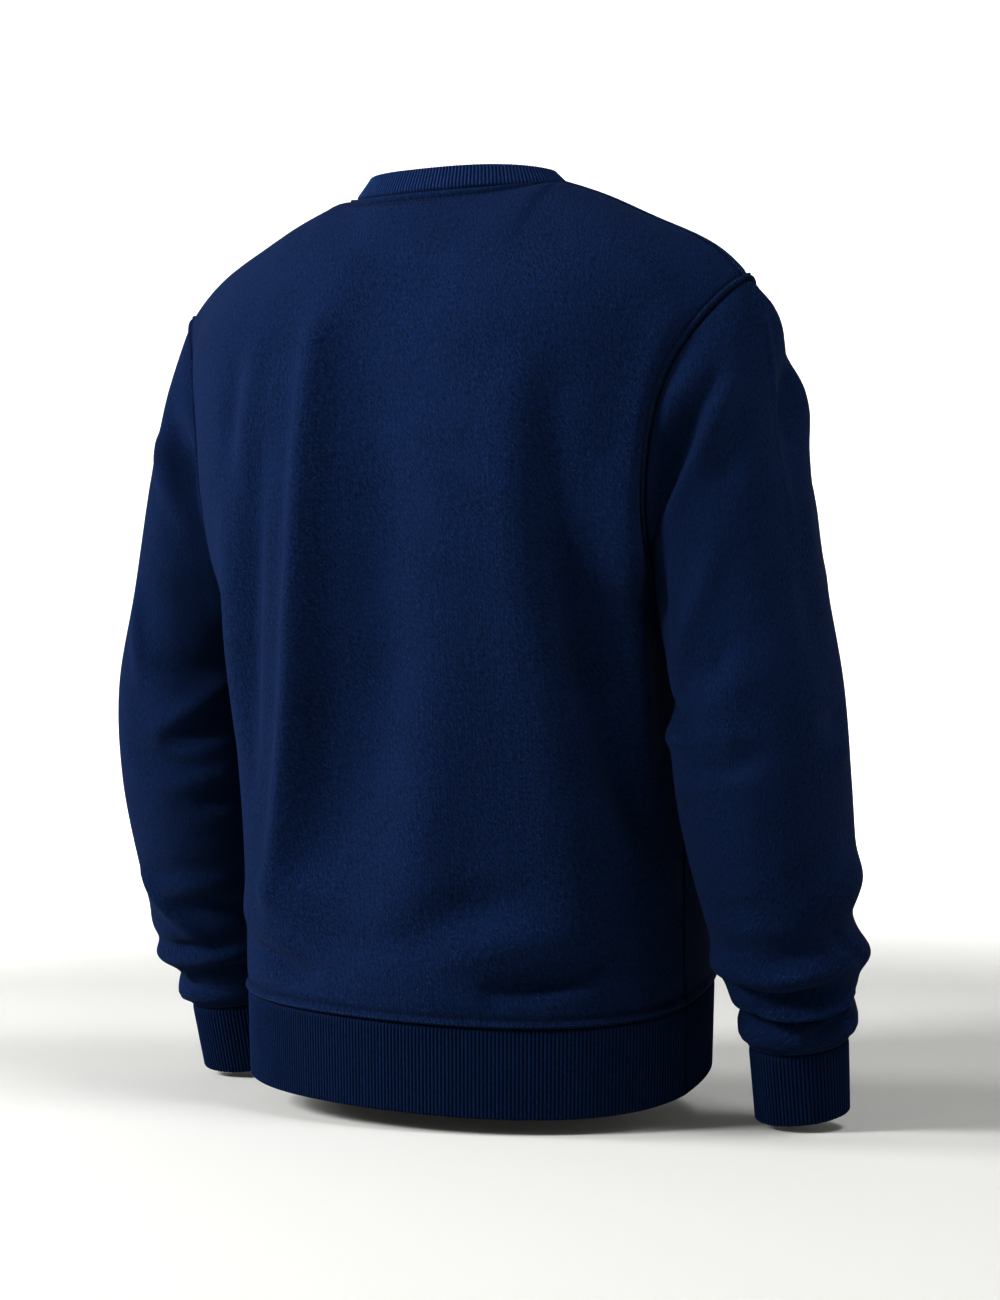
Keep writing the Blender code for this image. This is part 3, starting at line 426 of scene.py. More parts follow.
# ---------------------------------------------------------------- sleeves: form
# Two tubes of fleece set into the armholes, narrowing to the cuffs, as they hang on bent arms.
# The left one is built, and the right one is its mirror image.
SLEEVE_SECTIONS = (
    # outer is the line down from the shoulder point, inner the line down from the armpit.
    # outer_x, outer_y, outer_z, inner_x, inner_y, inner_z, half_depth, square
    (0.2655, 0.028, -0.1220, 0.1950, 0.014, -0.3320, 0.0665, 2.1),
    (0.2787, 0.026, -0.1900, 0.1990, 0.020, -0.3470, 0.0675, 2.1),
    (0.2935, 0.024, -0.2800, 0.2000, 0.023, -0.3740, 0.0655, 2.2),
    (0.3105, 0.024, -0.3600, 0.1970, 0.024, -0.4070, 0.0640, 2.3),
    (0.3155, 0.018, -0.4300, 0.1975, 0.018, -0.4520, 0.0620, 2.2),
    (0.3145, 0.005, -0.5000, 0.2030, 0.005, -0.5050, 0.0560, 2.1),
    (0.3085, -0.010, -0.5560, 0.2110, -0.010, -0.5530, 0.0500, 2.1),
    (0.3020, -0.021, -0.5960, 0.2170, -0.021, -0.5940, 0.0420, 2.0),
    (0.2930, -0.027, -0.6190, 0.2235, -0.027, -0.6180, 0.0345, 2.0),
)
CUFF_EDGE = (0.2890, -0.037, -0.6700, 0.2225, -0.037, -0.6720, 0.0325, 2.0)
UNDERARM_SWELL = 0.025
UNDERARM_POWER = 4
SLEEVE_RINGS = 190
CUFF_CROWDING = ((0.0, 0.62, 1.0), (0.0, 0.80, 1.0))  # shares of the rings, and of the length
SECTIONS_TO_EVEN = 3
MIRROR = np.array([-1.0, 1.0, 1.0])


def sleeve_ring(section, axis, around):
    """One ring of a sleeve. around holds the angle of each point, 0 at the outer line."""
    outer, inner = section[:3], section[3:6]
    half_depth, square = section[6:]
    half = (outer - inner) / 2
    depth = np.cross(axis, half)
    depth *= math.copysign(half_depth, depth[1]) / np.linalg.norm(depth)
    power = 2.0 / square
    cosine, sine = np.cos(around), np.sin(around)
    along = np.sign(cosine) * np.abs(cosine) ** power
    across = np.sign(sine) * np.abs(sine) ** power
    return (outer + inner) / 2 + along[:, None] * half + across[:, None] * depth


def sleeve_surface(armhole, outward):
    """Left sleeve and cuff as rings down the arm, and the angle of each of their points.

    The columns start at the shoulder line and run over the back to the armpit and up the
    front. outward is the body's normals round the armhole, off which the cloth swells."""
    run = lengths(np.concatenate([armhole, armhole[:1]]))
    half = len(armhole) // 2
    back = math.pi * run / run[half]
    front = math.pi * (1 + (run - run[half]) / (run[-1] - run[half]))
    at_armhole = np.where(run <= run[half], back, front)[:-1]
    even = 2 * math.pi * np.arange(len(armhole)) / len(armhole)
    table = np.array(SLEEVE_SECTIONS + (CUFF_EDGE,))
    axes = np.gradient((table[:, :3] + table[:, 3:6]) / 2, axis=0)
    evened = np.clip((np.arange(len(table)) + 1) / SECTIONS_TO_EVEN, 0, 1)[:, None]
    around = at_armhole * (1 - evened) + even * evened
    rings = [sleeve_ring(*ring) for ring in zip(table, axes, around)]
    keys = np.array([armhole] + rings)
    key_angles = np.concatenate([[at_armhole], around])
    swell = outward * (UNDERARM_SWELL * np.sin(at_armhole / 2) ** UNDERARM_POWER)[:, None]
    cuff_key = len(SLEEVE_SECTIONS)
    dense = np.linspace(0, cuff_key, DENSE)
    border = EDGE_STOPS[-1]
    near = np.array(EDGE_STOPS[:-1])
    crowded = np.interp(np.linspace(0, 1, SLEEVE_RINGS), *CUFF_CROWDING)
    columns, angles = [], []
    for c in range(len(armhole)):
        curve = smooth(keys[:, c], dense, None, swell[c])
        down = lengths(curve)
        spread = border + (down[-1] - 2 * border) * crowded
        stops = np.concatenate([near, spread, down[-1] - near[::-1]])
        places = np.interp(stops, down, dense)
        columns.append(smooth(keys[:, c], places, None, swell[c]))
        angles.append(smooth(key_angles[:, c], places))
    return np.stack(columns, axis=1), np.stack(angles, axis=1), keys[cuff_key:]


def grid_normals(grid, closed, outward):
    """Unit normals of a grid's points. outward is 1 or -1."""
    if closed:
        along = np.roll(grid, -1, axis=1) - np.roll(grid, 1, axis=1)
    else:
        along = np.gradient(grid, axis=1)
    return unit(np.cross(along, np.gradient(grid, axis=0)) * outward)


def round_armhole(back_values, front_values):
    """Values round the left armhole: down the back from the shoulder, then up the front."""
    down_back = back_values[ARMPIT_ROW:, -1][::-1]
    return np.concatenate([down_back, front_values[ARMPIT_ROW + 1:-1, -1]])


left_form, sleeve_angles, left_cuff_form = sleeve_surface(
    round_armhole(back_form, front_form),
    round_armhole(grid_normals(back_form, False, -1), grid_normals(front_form, False, 1)),
)


# ---------------------------------------------------------------- collar, hem and cuffs: form
# Bands of cotton rib folded double, sewn to the neckline, the body's lower edge and the sleeve
# ends. The collar leans in towards the neck, and the hem and the cuffs draw in.
COLLAR_HEIGHT = 0.0195
COLLAR_CENTRE_Y = -0.005
COLLAR_LEAN_BACK = 24.0
COLLAR_LEAN_SIDE = 55.0
COLLAR_LEAN_FRONT = 42.0
COLLAR_LEAN_POWER = 4
COLLAR_ROWS = 7
HEM_HEIGHT = 0.0635
HEM_DRAW_IN = 0.990
HEM_ROWS = 16
CUFF_ROWS = 14
# Rows crowd at these distances from the seam, and from the folded edge.
RIB_SEAM_STOPS = (0.0, 0.0006, 0.0012, 0.0020, 0.0045)
RIM_STOPS = (0.0, 0.0003, 0.0008, 0.0015, 0.0024)


def rib_rows(start, end, rows):
    """Rows of a rib band from its seam to its free edge, crowded at both."""
    span = np.linalg.norm(end - start, axis=1)[:, None]
    first, last = RIB_SEAM_STOPS[-1] / span, 1 - RIM_STOPS[-1] / span
    shares = [stop / span for stop in RIB_SEAM_STOPS[:-1]]
    shares += [first + (last - first) * step for step in np.linspace(0, 1, rows)]
    shares += [1 - stop / span for stop in RIM_STOPS[-2::-1]]
    return np.array([start + (end - start) * share for share in shares])


def collar_form():
    """Collar band from the neck seam up, leaning in towards the neck."""
    over_back = back_form[-1, NECK_CORNER:-NECK_CORNER]
    over_front = front_form[-1, NECK_CORNER:-NECK_CORNER][::-1]
    neckline = np.concatenate([over_back, over_front[1:-1]])
    inward = unit((np.array([0.0, COLLAR_CENTRE_Y, 0.0]) - neckline) * (1, 1, 0))
    middle_lean = np.where(inward[:, 1] < 0, COLLAR_LEAN_BACK, COLLAR_LEAN_FRONT)
    lean = middle_lean + (COLLAR_LEAN_SIDE - middle_lean) * inward[:, 0] ** COLLAR_LEAN_POWER
    lean = np.radians(lean)[:, None]
    rise = UP * np.cos(lean) + inward * np.sin(lean)
    return rib_rows(neckline, neckline + rise * COLLAR_HEIGHT, COLLAR_ROWS)


def hem_form(panel):
    """Half of the hem band, from the seam down to the folded edge."""
    edge = panel[0] * (HEM_DRAW_IN, HEM_DRAW_IN, 1) - (0, 0, HEM_HEIGHT)
    return rib_rows(panel[0], edge, HEM_ROWS)


# ---------------------------------------------------------------- where the pieces meet
# Every seam joins two pieces edge to edge, so the pieces share their points and their normals
# there, and no gap opens when the cloth is raised off its form.
left_cuff_rows = rib_rows(*left_cuff_form, CUFF_ROWS)
# Each piece's form, and which side of its grid faces out.
pieces = {
    "back_panel": (back_form, -1),
    "front_panel": (front_form, 1),
    "left_sleeve": (left_form, -1),
    "right_sleeve": (left_form * MIRROR, 1),
    "neck_rib": (collar_form(), -1),
    "hem_rib_back": (hem_form(back_form), 1),
    "hem_rib_front": (hem_form(front_form), -1),
    "left_cuff": (left_cuff_rows, -1),
    "right_cuff": (left_cuff_rows * MIRROR, 1),
}
TUBES = ("left_sleeve", "right_sleeve", "neck_rib", "left_cuff", "right_cuff")


def edges(closed):
    """The index of each edge of a grid, with the steps inwards from it."""
    found = [(lambda k: (k, slice(None))), (lambda k: (-1 - k, slice(None)))]
    if not closed:
        found += [(lambda k: (slice(None), k)), (lambda k: (slice(None), -1 - k))]
    return found


def share_at_seams(grids, normals, tubes):
    """Turns the normals beside a seam to the mean of the pieces that meet there."""
    total = {}
    for name, grid in grids.items():
        for edge in edges(name in tubes):
            for point, normal in zip(grid[edge(0)], normals[name][edge(0)]):
                total.setdefault(tuple(np.round(point, 6)), []).append(normal)
    for name, grid in grids.items():
        steps = min(len(EDGE_STOPS), grid.shape[0] // 2)
        for edge in edges(name in tubes):
            shared = [sum(total[tuple(np.round(point, 6))]) for point in grid[edge(0)]]
            shared = unit(np.array(shared))
            for k in range(steps):
                share = 1 - ease(k / steps)
                own = normals[name][edge(k)]
                normals[name][edge(k)] = unit(own + (shared - own) * share)


forms = {name: form for name, (form, facing) in pieces.items()}
normals = {
    name: grid_normals(form, name in TUBES, facing) for name, (form, facing) in pieces.items()
}
share_at_seams(forms, normals, TUBES)


# ---------------------------------------------------------------- back and front of the body: cloth
# Brushed cotton fleece, navy. Long soft folds hang from the shoulder blades, and the cloth
# slumps into shallow creases where it meets the hem's pull. Each seam allowance is folded back
# on the body's side and stitched flat, so a low band stands there with a ditch where it ends.
BODY = "root"
FLEECE_WALL = 0.0020
MILLIMETRE = 0.001
BACK_FOLDS = (
    # from_across, from_up, to_across, to_up, bow, width, height in mm, and any lean
    (44, 490, 93, 85, -24, 14.5, 16.5),
    (40, 560, 40, 470, 0, 24, 3),
    (-6, 500, 34, 50, -28, 44, -17.5),
    (22, 240, 52, 92, 0, 26, -7),
    (-131, 450, -163, 60, -2, 27, 12.5, 0.1),
    (-158, 460, -230, 115, 21, 16.5, -12.5),
    (-236, 520, -212, 330, 0, 16, 12),
    (-204, 400, -222, 190, 0, 15.5, 16.5),
    (132, 480, 128, 410, 0, 12, -5),
    (106, 490, 104, 390, 0, 12, 4),
    (88, 400, 124, 160, -3, 14, -9.5),
    (128, 360, 142, 200, 0, 16, 6),
    (-62, 230, -46, 80, 0, 26, 4.5),
    (-85, 150, -90, 75, 0, 24, -4),
    (120, 78, 20, 85, 0, 16, 4),
    (30, 52, -60, 58, 0, 12, -4.5),
    (-45, 70, -128, 97, 0, 14, -6),
    (-160, 70, -75, 49, 0, 14, 5.5),
    (-106, 27, -204, 45, 3, 7.5, -13.5),
    (118, 42, 52, 25, 3, 5.5, -6.5),
    (160, 42, 50, 27, 0, 8, -6),
    (160, 66, 80, 50, 0, 12, 4.5),
    (-180, 150, -256, 88, 0, 14, 6),
)
FRONT_FOLDS = (
    # from_across, from_up, to_across, to_up, bow, width, height in mm
    (86, 430, 112, 110, 10, 19, 9),
    (40, 380, 52, 100, 4, 22, -7),
    (-78, 410, -106, 120, -10, 20, 8.5),
    (-34, 350, -52, 90, 0, 24, -7),
    (6, 330, 2, 60, 6, 24, 4.5),
    (236, 330, 140, 300, -8, 15, -6),
    (-238, 320, -130, 270, 8, 16, -6.5),
    (222, 300, 150, 190, 4, 20, 5.5),
    (-220, 280, -160, 160, -4, 20, 5.5),
    (165, 58, 70, 36, 0, 12, -5),
    (-50, 44, -150, 30, 0, 11, -5),
    (40, 70, -45, 88, 0, 17, 4.5),
    (-80, 84, -150, 66, 0, 16, 4),
)
FADE_AT_SEAM = 0.018
FOLD_END_SHARE = 0.12
FOLD_TAPER_POWER = 0.8
ARMPIT_EASE = 6
STITCHES_ABOVE_ARMPIT = 4
STITCHES_INSIDE_NECK = 2
# Height of the cloth over its form, by distance from a sewn band's seam, and a plain one's.
BAND_PROFILE = (
    # distances, then heights
    (0.0, 0.0006, 0.0012, 0.0020, 0.0029, 0.0037, 0.0044, 0.0050, 0.0056, 0.0064, 0.0078),
    (-0.0014, -0.0004, 0.0006, 0.0017, 0.0021, 0.0018, 0.0008, -0.0006, -0.0009, -0.0005, 0.0),
)
ROLL_PROFILE = (
    (0.0, 0.0006, 0.0012, 0.0020, 0.0037),
    (-0.0014, -0.0008, -0.0004, -0.0001, 0.0),
)
# How much painted shade darkens a point's colour in a sewn line, from 0 to 1, by distance
# from the seam, for both.
BAND_PAINTED_SHADE_PROFILE = (
    # distances, then shares of painted shade
    (0.0, 0.0006, 0.0012, 0.0020, 0.0037, 0.0044, 0.0050, 0.0056, 0.0064, 0.0078),
    (1.0, 0.9, 0.25, 0.0, 0.0, 0.1, 0.5, 0.7, 0.3, 0.0),
)
# The painted shade beside a plain seam.
SEAM_PAINTED_SHADE_PROFILE = (
    (0.0, 0.0006, 0.0012, 0.0020),
    (1.0, 0.8, 0.3, 0.0),
)
STITCH_STOP = EDGE_STOPS.index(0.0050)
# The fleece's face is a fine jersey whose loops are felted over by a short nap, so it shows
# soft slanted streaks, small pale fibres and a faint bloom at its edges. Its loop columns are
# too fine to show, so they are drawn at twice their pitch.
NAVY = "#0c1d3a"
NAVY_DEEP = "#040d20"
NAVY_FIBRE = "#1d325a"
BLOOM = "#7c93cf"
STREAK_LENGTH = 0.0048
STREAK_WIDTH = 0.0016
STREAK_SLANT = 38.0
CROSSED_WIDTH = 0.8
CROSSED_LENGTH = 0.6
CROSSED_SHARE = 0.7
FIBRE_LENGTH = 0.0032
FIBRE_WIDTH = 0.0007
FIBRE_SLANT = 64.0
FIBRE_SHARE = 0.5
PATCHES_PER_METRE = 22.0
WALE_PITCH = 0.0013
WALE_SHARE = 0.10
NAP_HEIGHT = 0.0012
CLOTH_SHINE = 0.02
# Painted shade: in the sewn lines the cloth's colour is mixed by this share towards this
# near-black.
DITCH_SHADE = 0.85
PAINTED_SEAM_SHADE_COLOUR = "#01040a"
# A wave texture of this scale has one band to the metre.
WAVE = math.pi / 10


def add_node(tree, kind, inputs=None, **settings):
    """Adds a node with its inputs and settings."""
    item = tree.nodes.new(kind)
    for name, value in settings.items():
        setattr(item, name, value)
    set_inputs(tree, item, inputs or {})
    return item


def cloth_streaks(tree, place, slant, width, length):
    """Noise drawn out into slanted streaks of a given width and length, in metres."""
    turned = add_node(
        tree, "ShaderNodeMapping", {"Vector": place, "Rotation": (0, 0, math.radians(slant))}
    )
    drawn = add_node(
        tree, "ShaderNodeMapping",
        {"Vector": turned.outputs["Vector"], "Scale": (1 / width, 1 / length, 1 / width)},
    )
    noise = add_node(
        tree, "ShaderNodeTexNoise",
        {"Vector": drawn.outputs["Vector"], "Scale": 1.0, "Detail": 2.0, "Roughness": 0.55},
    )
    return noise.outputs["Fac"]


def finish_cloth(tree, shader, colour, relief, looks):
    """Gives a cloth's shader its relief, its looks, and its colour, with painted shade in sewn
    ditches.
    """
    # Painted shade: the colour is mixed towards near-black by the painted seam shade attribute.
    painted_seam_shade = add_node(tree, "ShaderNodeAttribute", attribute_name="painted_seam_shade").outputs["Fac"]
    share = add_node(tree, "ShaderNodeMath", {0: painted_seam_shade, 1: DITCH_SHADE}, operation="MULTIPLY")
    shaded = add_node(
        tree, "ShaderNodeMix", {0: share.outputs[0], 6: colour, 7: linear(PAINTED_SEAM_SHADE_COLOUR)},
        data_type="RGBA",
    )
    bump = add_node(tree, "ShaderNodeBump", relief)
    set_inputs(tree, shader, {
        "Base Color": shaded.outputs[2], "Normal": bump.outputs["Normal"],
        "Specular IOR Level": CLOTH_SHINE, "Sheen Tint": linear(BLOOM), **looks,
    })


def fleece_material():
    """Brushed fleece: slanted nap streaks, loop columns under them, stray pale fibres."""
    material, tree, shader = new_material("brushed_fleece")
    flat = add_node(tree, "ShaderNodeUVMap", uv_map="cloth").outputs["UV"]
    streaks = cloth_streaks(tree, flat, STREAK_SLANT, STREAK_WIDTH, STREAK_LENGTH)
    crossed = cloth_streaks(
        tree, flat, -STREAK_SLANT, STREAK_WIDTH * CROSSED_WIDTH, STREAK_LENGTH * CROSSED_LENGTH
    )
    fibres = cloth_streaks(tree, flat, FIBRE_SLANT, FIBRE_WIDTH, FIBRE_LENGTH)
    patches = add_node(
        tree, "ShaderNodeTexNoise", {"Vector": flat, "Scale": PATCHES_PER_METRE, "Detail": 3.0}
    )
    wales = add_node(
        tree, "ShaderNodeTexWave",
        {"Vector": flat, "Scale": WAVE / (2 * WALE_PITCH), "Distortion": 0.6, "Detail Scale": 2.0},
        wave_type="BANDS", bands_direction="X",
    )
    lesser = add_node(
        tree, "ShaderNodeMath", {0: crossed, 1: CROSSED_SHARE}, operation="MULTIPLY"
    )
    nap = add_node(tree, "ShaderNodeMath", {0: streaks, 1: lesser.outputs[0]}, operation="ADD")
    tone = add_node(
        tree, "ShaderNodeMapRange", {"Value": nap.outputs[0], "From Min": 0.63, "From Max": 1.07}
    )
    ground = add_node(
        tree, "ShaderNodeMix",
        {0: tone.outputs["Result"], 6: linear(NAVY_DEEP), 7: linear(NAVY)}, data_type="RGBA",
    )
    worn = add_node(
        tree, "ShaderNodeMapRange",
        {"Value": patches.outputs["Fac"], "From Min": 0.3, "From Max": 0.7, "To Max": 0.35},
    )
    patched = add_node(
        tree, "ShaderNodeMix",
        {0: worn.outputs["Result"], 6: ground.outputs[2], 7: linear(NAVY)}, data_type="RGBA",
    )
    stray = add_node(
        tree, "ShaderNodeMapRange",
        {"Value": fibres, "From Min": 0.60, "From Max": 0.74, "To Max": 0.8},
    )
    colour = add_node(
        tree, "ShaderNodeMix",
        {0: stray.outputs["Result"], 6: patched.outputs[2], 7: linear(NAVY_FIBRE)},
        data_type="RGBA",
    )
    height = nap.outputs[0]
    for layer, share in ((wales.outputs["Fac"], WALE_SHARE), (fibres, FIBRE_SHARE)):
        raised = add_node(tree, "ShaderNodeMath", {0: layer, 1: share}, operation="MULTIPLY")
        height = add_node(
            tree, "ShaderNodeMath", {0: height, 1: raised.outputs[0]}, operation="ADD"
        ).outputs[0]
    finish_cloth(
        tree, shader, colour.outputs[2],
        {"Height": height, "Strength": 0.9, "Distance": NAP_HEIGHT},
        {"Roughness": 0.92, "Sheen Weight": 0.04, "Sheen Roughness": 0.45},
    )
    return material


def fold_relief(across, up, folds, scale=MILLIMETRE, wrap=None):
    """Height of a table of folds at points of the flat cloth.

    scale turns the table's across values into metres, and wrap is the distance round a tube.
    A fold's lean is the share by which its two flanks are wider and narrower than its width."""
    relief = np.zeros_like(up)
    for from_across, from_up, to_across, to_up, bow, width, height, *lean in folds:
        sizes = np.array([from_up, to_up, bow, width, height]) * MILLIMETRE
        from_up, to_up, bow, width, height = sizes
        run_across, run_up = (to_across - from_across) * scale, to_up - from_up
        length = np.hypot(run_across, run_up)
        aside = across - from_across * scale
        if wrap is not None:
            middle = run_across / 2
            aside = (aside - middle + wrap / 2) % wrap - wrap / 2 + middle
        along = (aside * run_across + (up - from_up) * run_up) / length**2
        inside = np.clip(along, 0, 1)
        off = ((up - from_up) * run_across - aside * run_up) / length
        off = off - bow * 4 * inside * (1 - inside)
        beyond = (along - inside) * length
        spot = FOLD_END_SHARE + (1 - 2 * FOLD_END_SHARE) * inside
        taper = np.sin(np.pi * spot) ** FOLD_TAPER_POWER
        side = width * (1 + sum(lean) * np.tanh(off / width))
        relief = relief + height * taper * np.exp(-(off / side) ** 2 - (beyond / width) ** 2)
    return relief


def panel_heights(form, folds, with_shoulder_band):
    """Height over a body panel's form, and the flat cloth's across and up at every point."""
    across = np.array([lengths(row) for row in form])
    half = across[:, -1:] / 2
    up = down_columns(form)
    from_side = half - np.abs(across - half)
    from_top = up[-1] - up
    edge = np.minimum(np.minimum(from_side, up), from_top)
    heights = fold_relief(across - half, up, folds) * ease(edge / FADE_AT_SEAM)
    above_armpit = ease((np.arange(len(form)) - ARMPIT_ROW) / ARMPIT_EASE)[:, None]
    band = np.interp(from_side, *BAND_PROFILE)
    roll = np.interp(from_side, *ROLL_PROFILE)
    heights += roll + (band - roll) * above_armpit
    heights += np.interp(up / HEM_BAND, *BAND_PROFILE)
    banded = np.ones(form.shape[1], bool)
    if not with_shoulder_band:
        banded[:NECK_CORNER] = False
        banded[-NECK_CORNER:] = False
    from_collar = from_top / band_widths(form.shape[1])
    top_band = np.interp(from_collar, *BAND_PROFILE)
    heights += np.where(banded, top_band, np.interp(from_top, *ROLL_PROFILE))
    # Painted shade: the colour darkens along the sewn lines at the sides, the armholes, the hem,
    # and the collar or shoulders.
    beside = np.interp(from_side, *SEAM_PAINTED_SHADE_PROFILE)
    painted_seam_shade = beside + (np.interp(from_side, *BAND_PAINTED_SHADE_PROFILE) - beside) * above_armpit
    above = np.where(
        banded, np.interp(from_collar, *BAND_PAINTED_SHADE_PROFILE), np.interp(from_top, *SEAM_PAINTED_SHADE_PROFILE)
    )
    painted_seam_shade = np.maximum(np.maximum(painted_seam_shade, np.interp(up / HEM_BAND, *BAND_PAINTED_SHADE_PROFILE)), above)
    return heights, across - half, up, painted_seam_shade


def add_wall(name, outer, inner, across, up, painted_seam_shade, closed, material):
    """A closed wall of cloth between two grids, with the flat cloth's places as its UV map.

    painted_seam_shade says how much painted shade darkens each point in a sewn line, from 0 to 1."""
    rows, count = outer.shape[:2]
    columns = count + 1 if closed else count
    spots = np.arange(rows * columns).reshape(rows, columns)
    outside = np.arange(rows * count).reshape(rows, count)
    if closed:
        outside = np.concatenate([outside, outside[:, :1]], axis=1)
    points = np.concatenate([outer.reshape(-1, 3), inner.reshape(-1, 3)])
    number = np.concatenate([outside.ravel(), outside.ravel() + rows * count])
    flat = np.stack([across.ravel(), up.ravel()], axis=1)
    flat = np.concatenate([flat, flat])
    within = spots + rows * columns

    def quads(first, second):
        """Faces between two lines of spots."""
        return np.stack([first[:-1], first[1:], second[1:], second[:-1]], axis=-1).reshape(-1, 4)

    faces = [quads(a, b) for a, b in zip(spots[:-1], spots[1:])]
    faces += [quads(b, a) for a, b in zip(within[:-1], within[1:])]
    faces += [quads(within[0], spots[0]), quads(spots[-1], within[-1])]
    if not closed:
        faces += [quads(spots[:, 0], within[:, 0]), quads(within[:, -1], spots[:, -1])]
    faces = np.concatenate(faces)
    corners = points[number[faces]]
    volume = np.einsum("ij,ij->", corners[:, 0], np.cross(corners[:, 1], corners[:, 2]))
    volume += np.einsum("ij,ij->", corners[:, 0], np.cross(corners[:, 2], corners[:, 3]))
    if volume < 0:
        faces = faces[:, ::-1]
    mesh = bpy.data.meshes.new(name)
    mesh.from_pydata(points.tolist(), [], number[faces].tolist())
    mesh.uv_layers.new(name="cloth")
    mesh.uv_layers["cloth"].data.foreach_set("uv", flat[faces.ravel()].ravel())
    # The painted shade of the sewn lines goes on the mesh as a point attribute for the material.
    mesh.attributes.new("painted_seam_shade", "FLOAT", "POINT")
    depth = np.concatenate([painted_seam_shade.ravel(), painted_seam_shade.ravel()]).astype(np.float32)
    mesh.attributes["painted_seam_shade"].data.foreach_set("value", depth)
    mesh.shade_smooth()
    mesh.materials.append(material)
    return add_object(name, mesh)


def dress(item, node):
    """Attaches a piece to the body and hides the solid that it stands for."""
    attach(item, BODY)
    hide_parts(node)


def add_panel(name, folds, with_shoulder_band):
    """A body panel with its folds, bands and stitch lines."""
    form, normal = forms[name], normals[name]
    heights, across, up, painted_seam_shade = panel_heights(form, folds, with_shoulder_band)
    outer = form + normal * heights[:, :, None]
    inner = form + normal * (heights - FLEECE_WALL)[:, :, None]
    step = STITCH_STOP
    armhole = slice(ARMPIT_ROW + STITCHES_ABOVE_ARMPIT, -step)
    stitch_paths.append(outer[armhole, step])
    stitch_paths.append(outer[armhole, -1 - step])
    stitch_paths.append(outer[step, step:-step])
    first = step if with_shoulder_band else NECK_CORNER + STITCHES_INSIDE_NECK
    stitch_paths.append(outer[-1 - step, first:-first])
    return add_wall(name + "_cloth", outer, inner, across, up, painted_seam_shade, False, FLEECE)


stitch_paths = []
FLEECE = fleece_material()
back_panel = add_panel("back_panel", BACK_FOLDS, True)
front_panel = add_panel("front_panel", FRONT_FOLDS, False)
dress(back_panel, "back_panel")
dress(front_panel, "front_panel")


# ---------------------------------------------------------------- sleeves: cloth
# Set-in tubes of fleece. Folds fan out from the back of the armhole and inside the elbow, and
# the spare length piles up on the cuff in two uneven rolls.
FADE_AT_CUFF = 0.007
CUFF_BAND_SHARE = 0.6
# Share of the painted seam shade at the cuff seam.
CUFF_PAINTED_SHADE_SHARE = 0.3
RIGHT_SLEEVE_FOLDS = (
    # from_turn in degrees, from_up, to_turn, to_up, bow, width, height in mm
    (44, 508, 88, 448, 2, 9, 7),
    (42, 492, 82, 440, 0, 6.5, -8),
    (66, 460, 114, 386, 0, 12, -19),
    (36, 484, 114, 376, 0, 12, 9.5),
    (30, 466, 62, 410, 0, 12, -3),
    (0, 535, 8, 360, 0, 4.5, 1.8),
    (-26, 482, -4, 432, 0, 22, -15),
    (-8, 398, 0, 345, 0, 18, 4.5),
    (-10, 545, -14, 500, 0, 20, 2.8),
    (2, 400, 8, 290, 0, 14, -3.5),
    (66, 375, 118, 280, 0, 12, 6),
    (168, 350, 146, 292, 0, 22, 5),
    (115, 364, 128, 313, 0, 11, -3.5),
    (76, 306, 88, 280, 0, 10, -3.5),
    (50, 290, 102, 262, 0, 15, 3.2),
    (150, 262, 92, 239, 0, 9, -7),
    (150, 236, 82, 242, 0, 8, 5.5),
    (100, 216, 60, 228, 0, 8.5, -4.5),
    (130, 203, 70, 210, 0, 11, 1.8),
    (135, 190, 104, 193, 0, 8, -3),
    (6, 240, -14, 236, 0, 10, -5),
    (4, 214, -14, 218, 0, 9, 4.5),
    (-45, 124, 30, 120, 0, 14, 5),
    (-50, 94, 40, 88, 0, 12, -5),
    (125, 104, 54, 101, 0, 10, 3.5),
    (112, 116, 76, 119, 0, 8, -2.5),
    (-80, 470, -40, 400, -4, 13, -5.5),
    (-112, 360, -50, 330, 3, 15, 4.5),
    (-160, 270, -95, 250, 3, 13, -5.5),
    (-165, 222, -100, 236, 0, 12, 4.5),
    (-150, 150, -60, 168, 3, 14, -4.5),
    (165, 70, -100, 64, 0, 11, 9.5),
    (138, 76, 104, 70, 0, 14, 1),
    (134, 60, 74, 46, 0, 5.5, -7.5),
    (88, 70, 34, 83, 0, 9, -3.5),
    (86, 64, 34, 73, 0, 8, 2),
    (86, 44, 26, 52.5, 2, 7, -15),
    (88, 34, -4, 38.5, 0, 5.6, 8.5),
    (166, 30, 12, 24.5, 0, 4.2, -14),
    (120, 26, 50, 20, 0, 4.5, -6),
    (-8, 36, 12, 29, 0, 4, -9),
    (12, 88, -6, 62, 0, 5.5, -4),
    (175, 12, -70, 13, 0, 7.5, 6.5),
    (50, 15.5, -8, 20.5, 0, 3.8, -9),
    (-14, 34, -120, 40, 0, 5, -8.5),
    (-90, 60, -190, 64, 0, 12, 8),
    (-50, 18, -180, 18, 0, 9, 7.5),
)
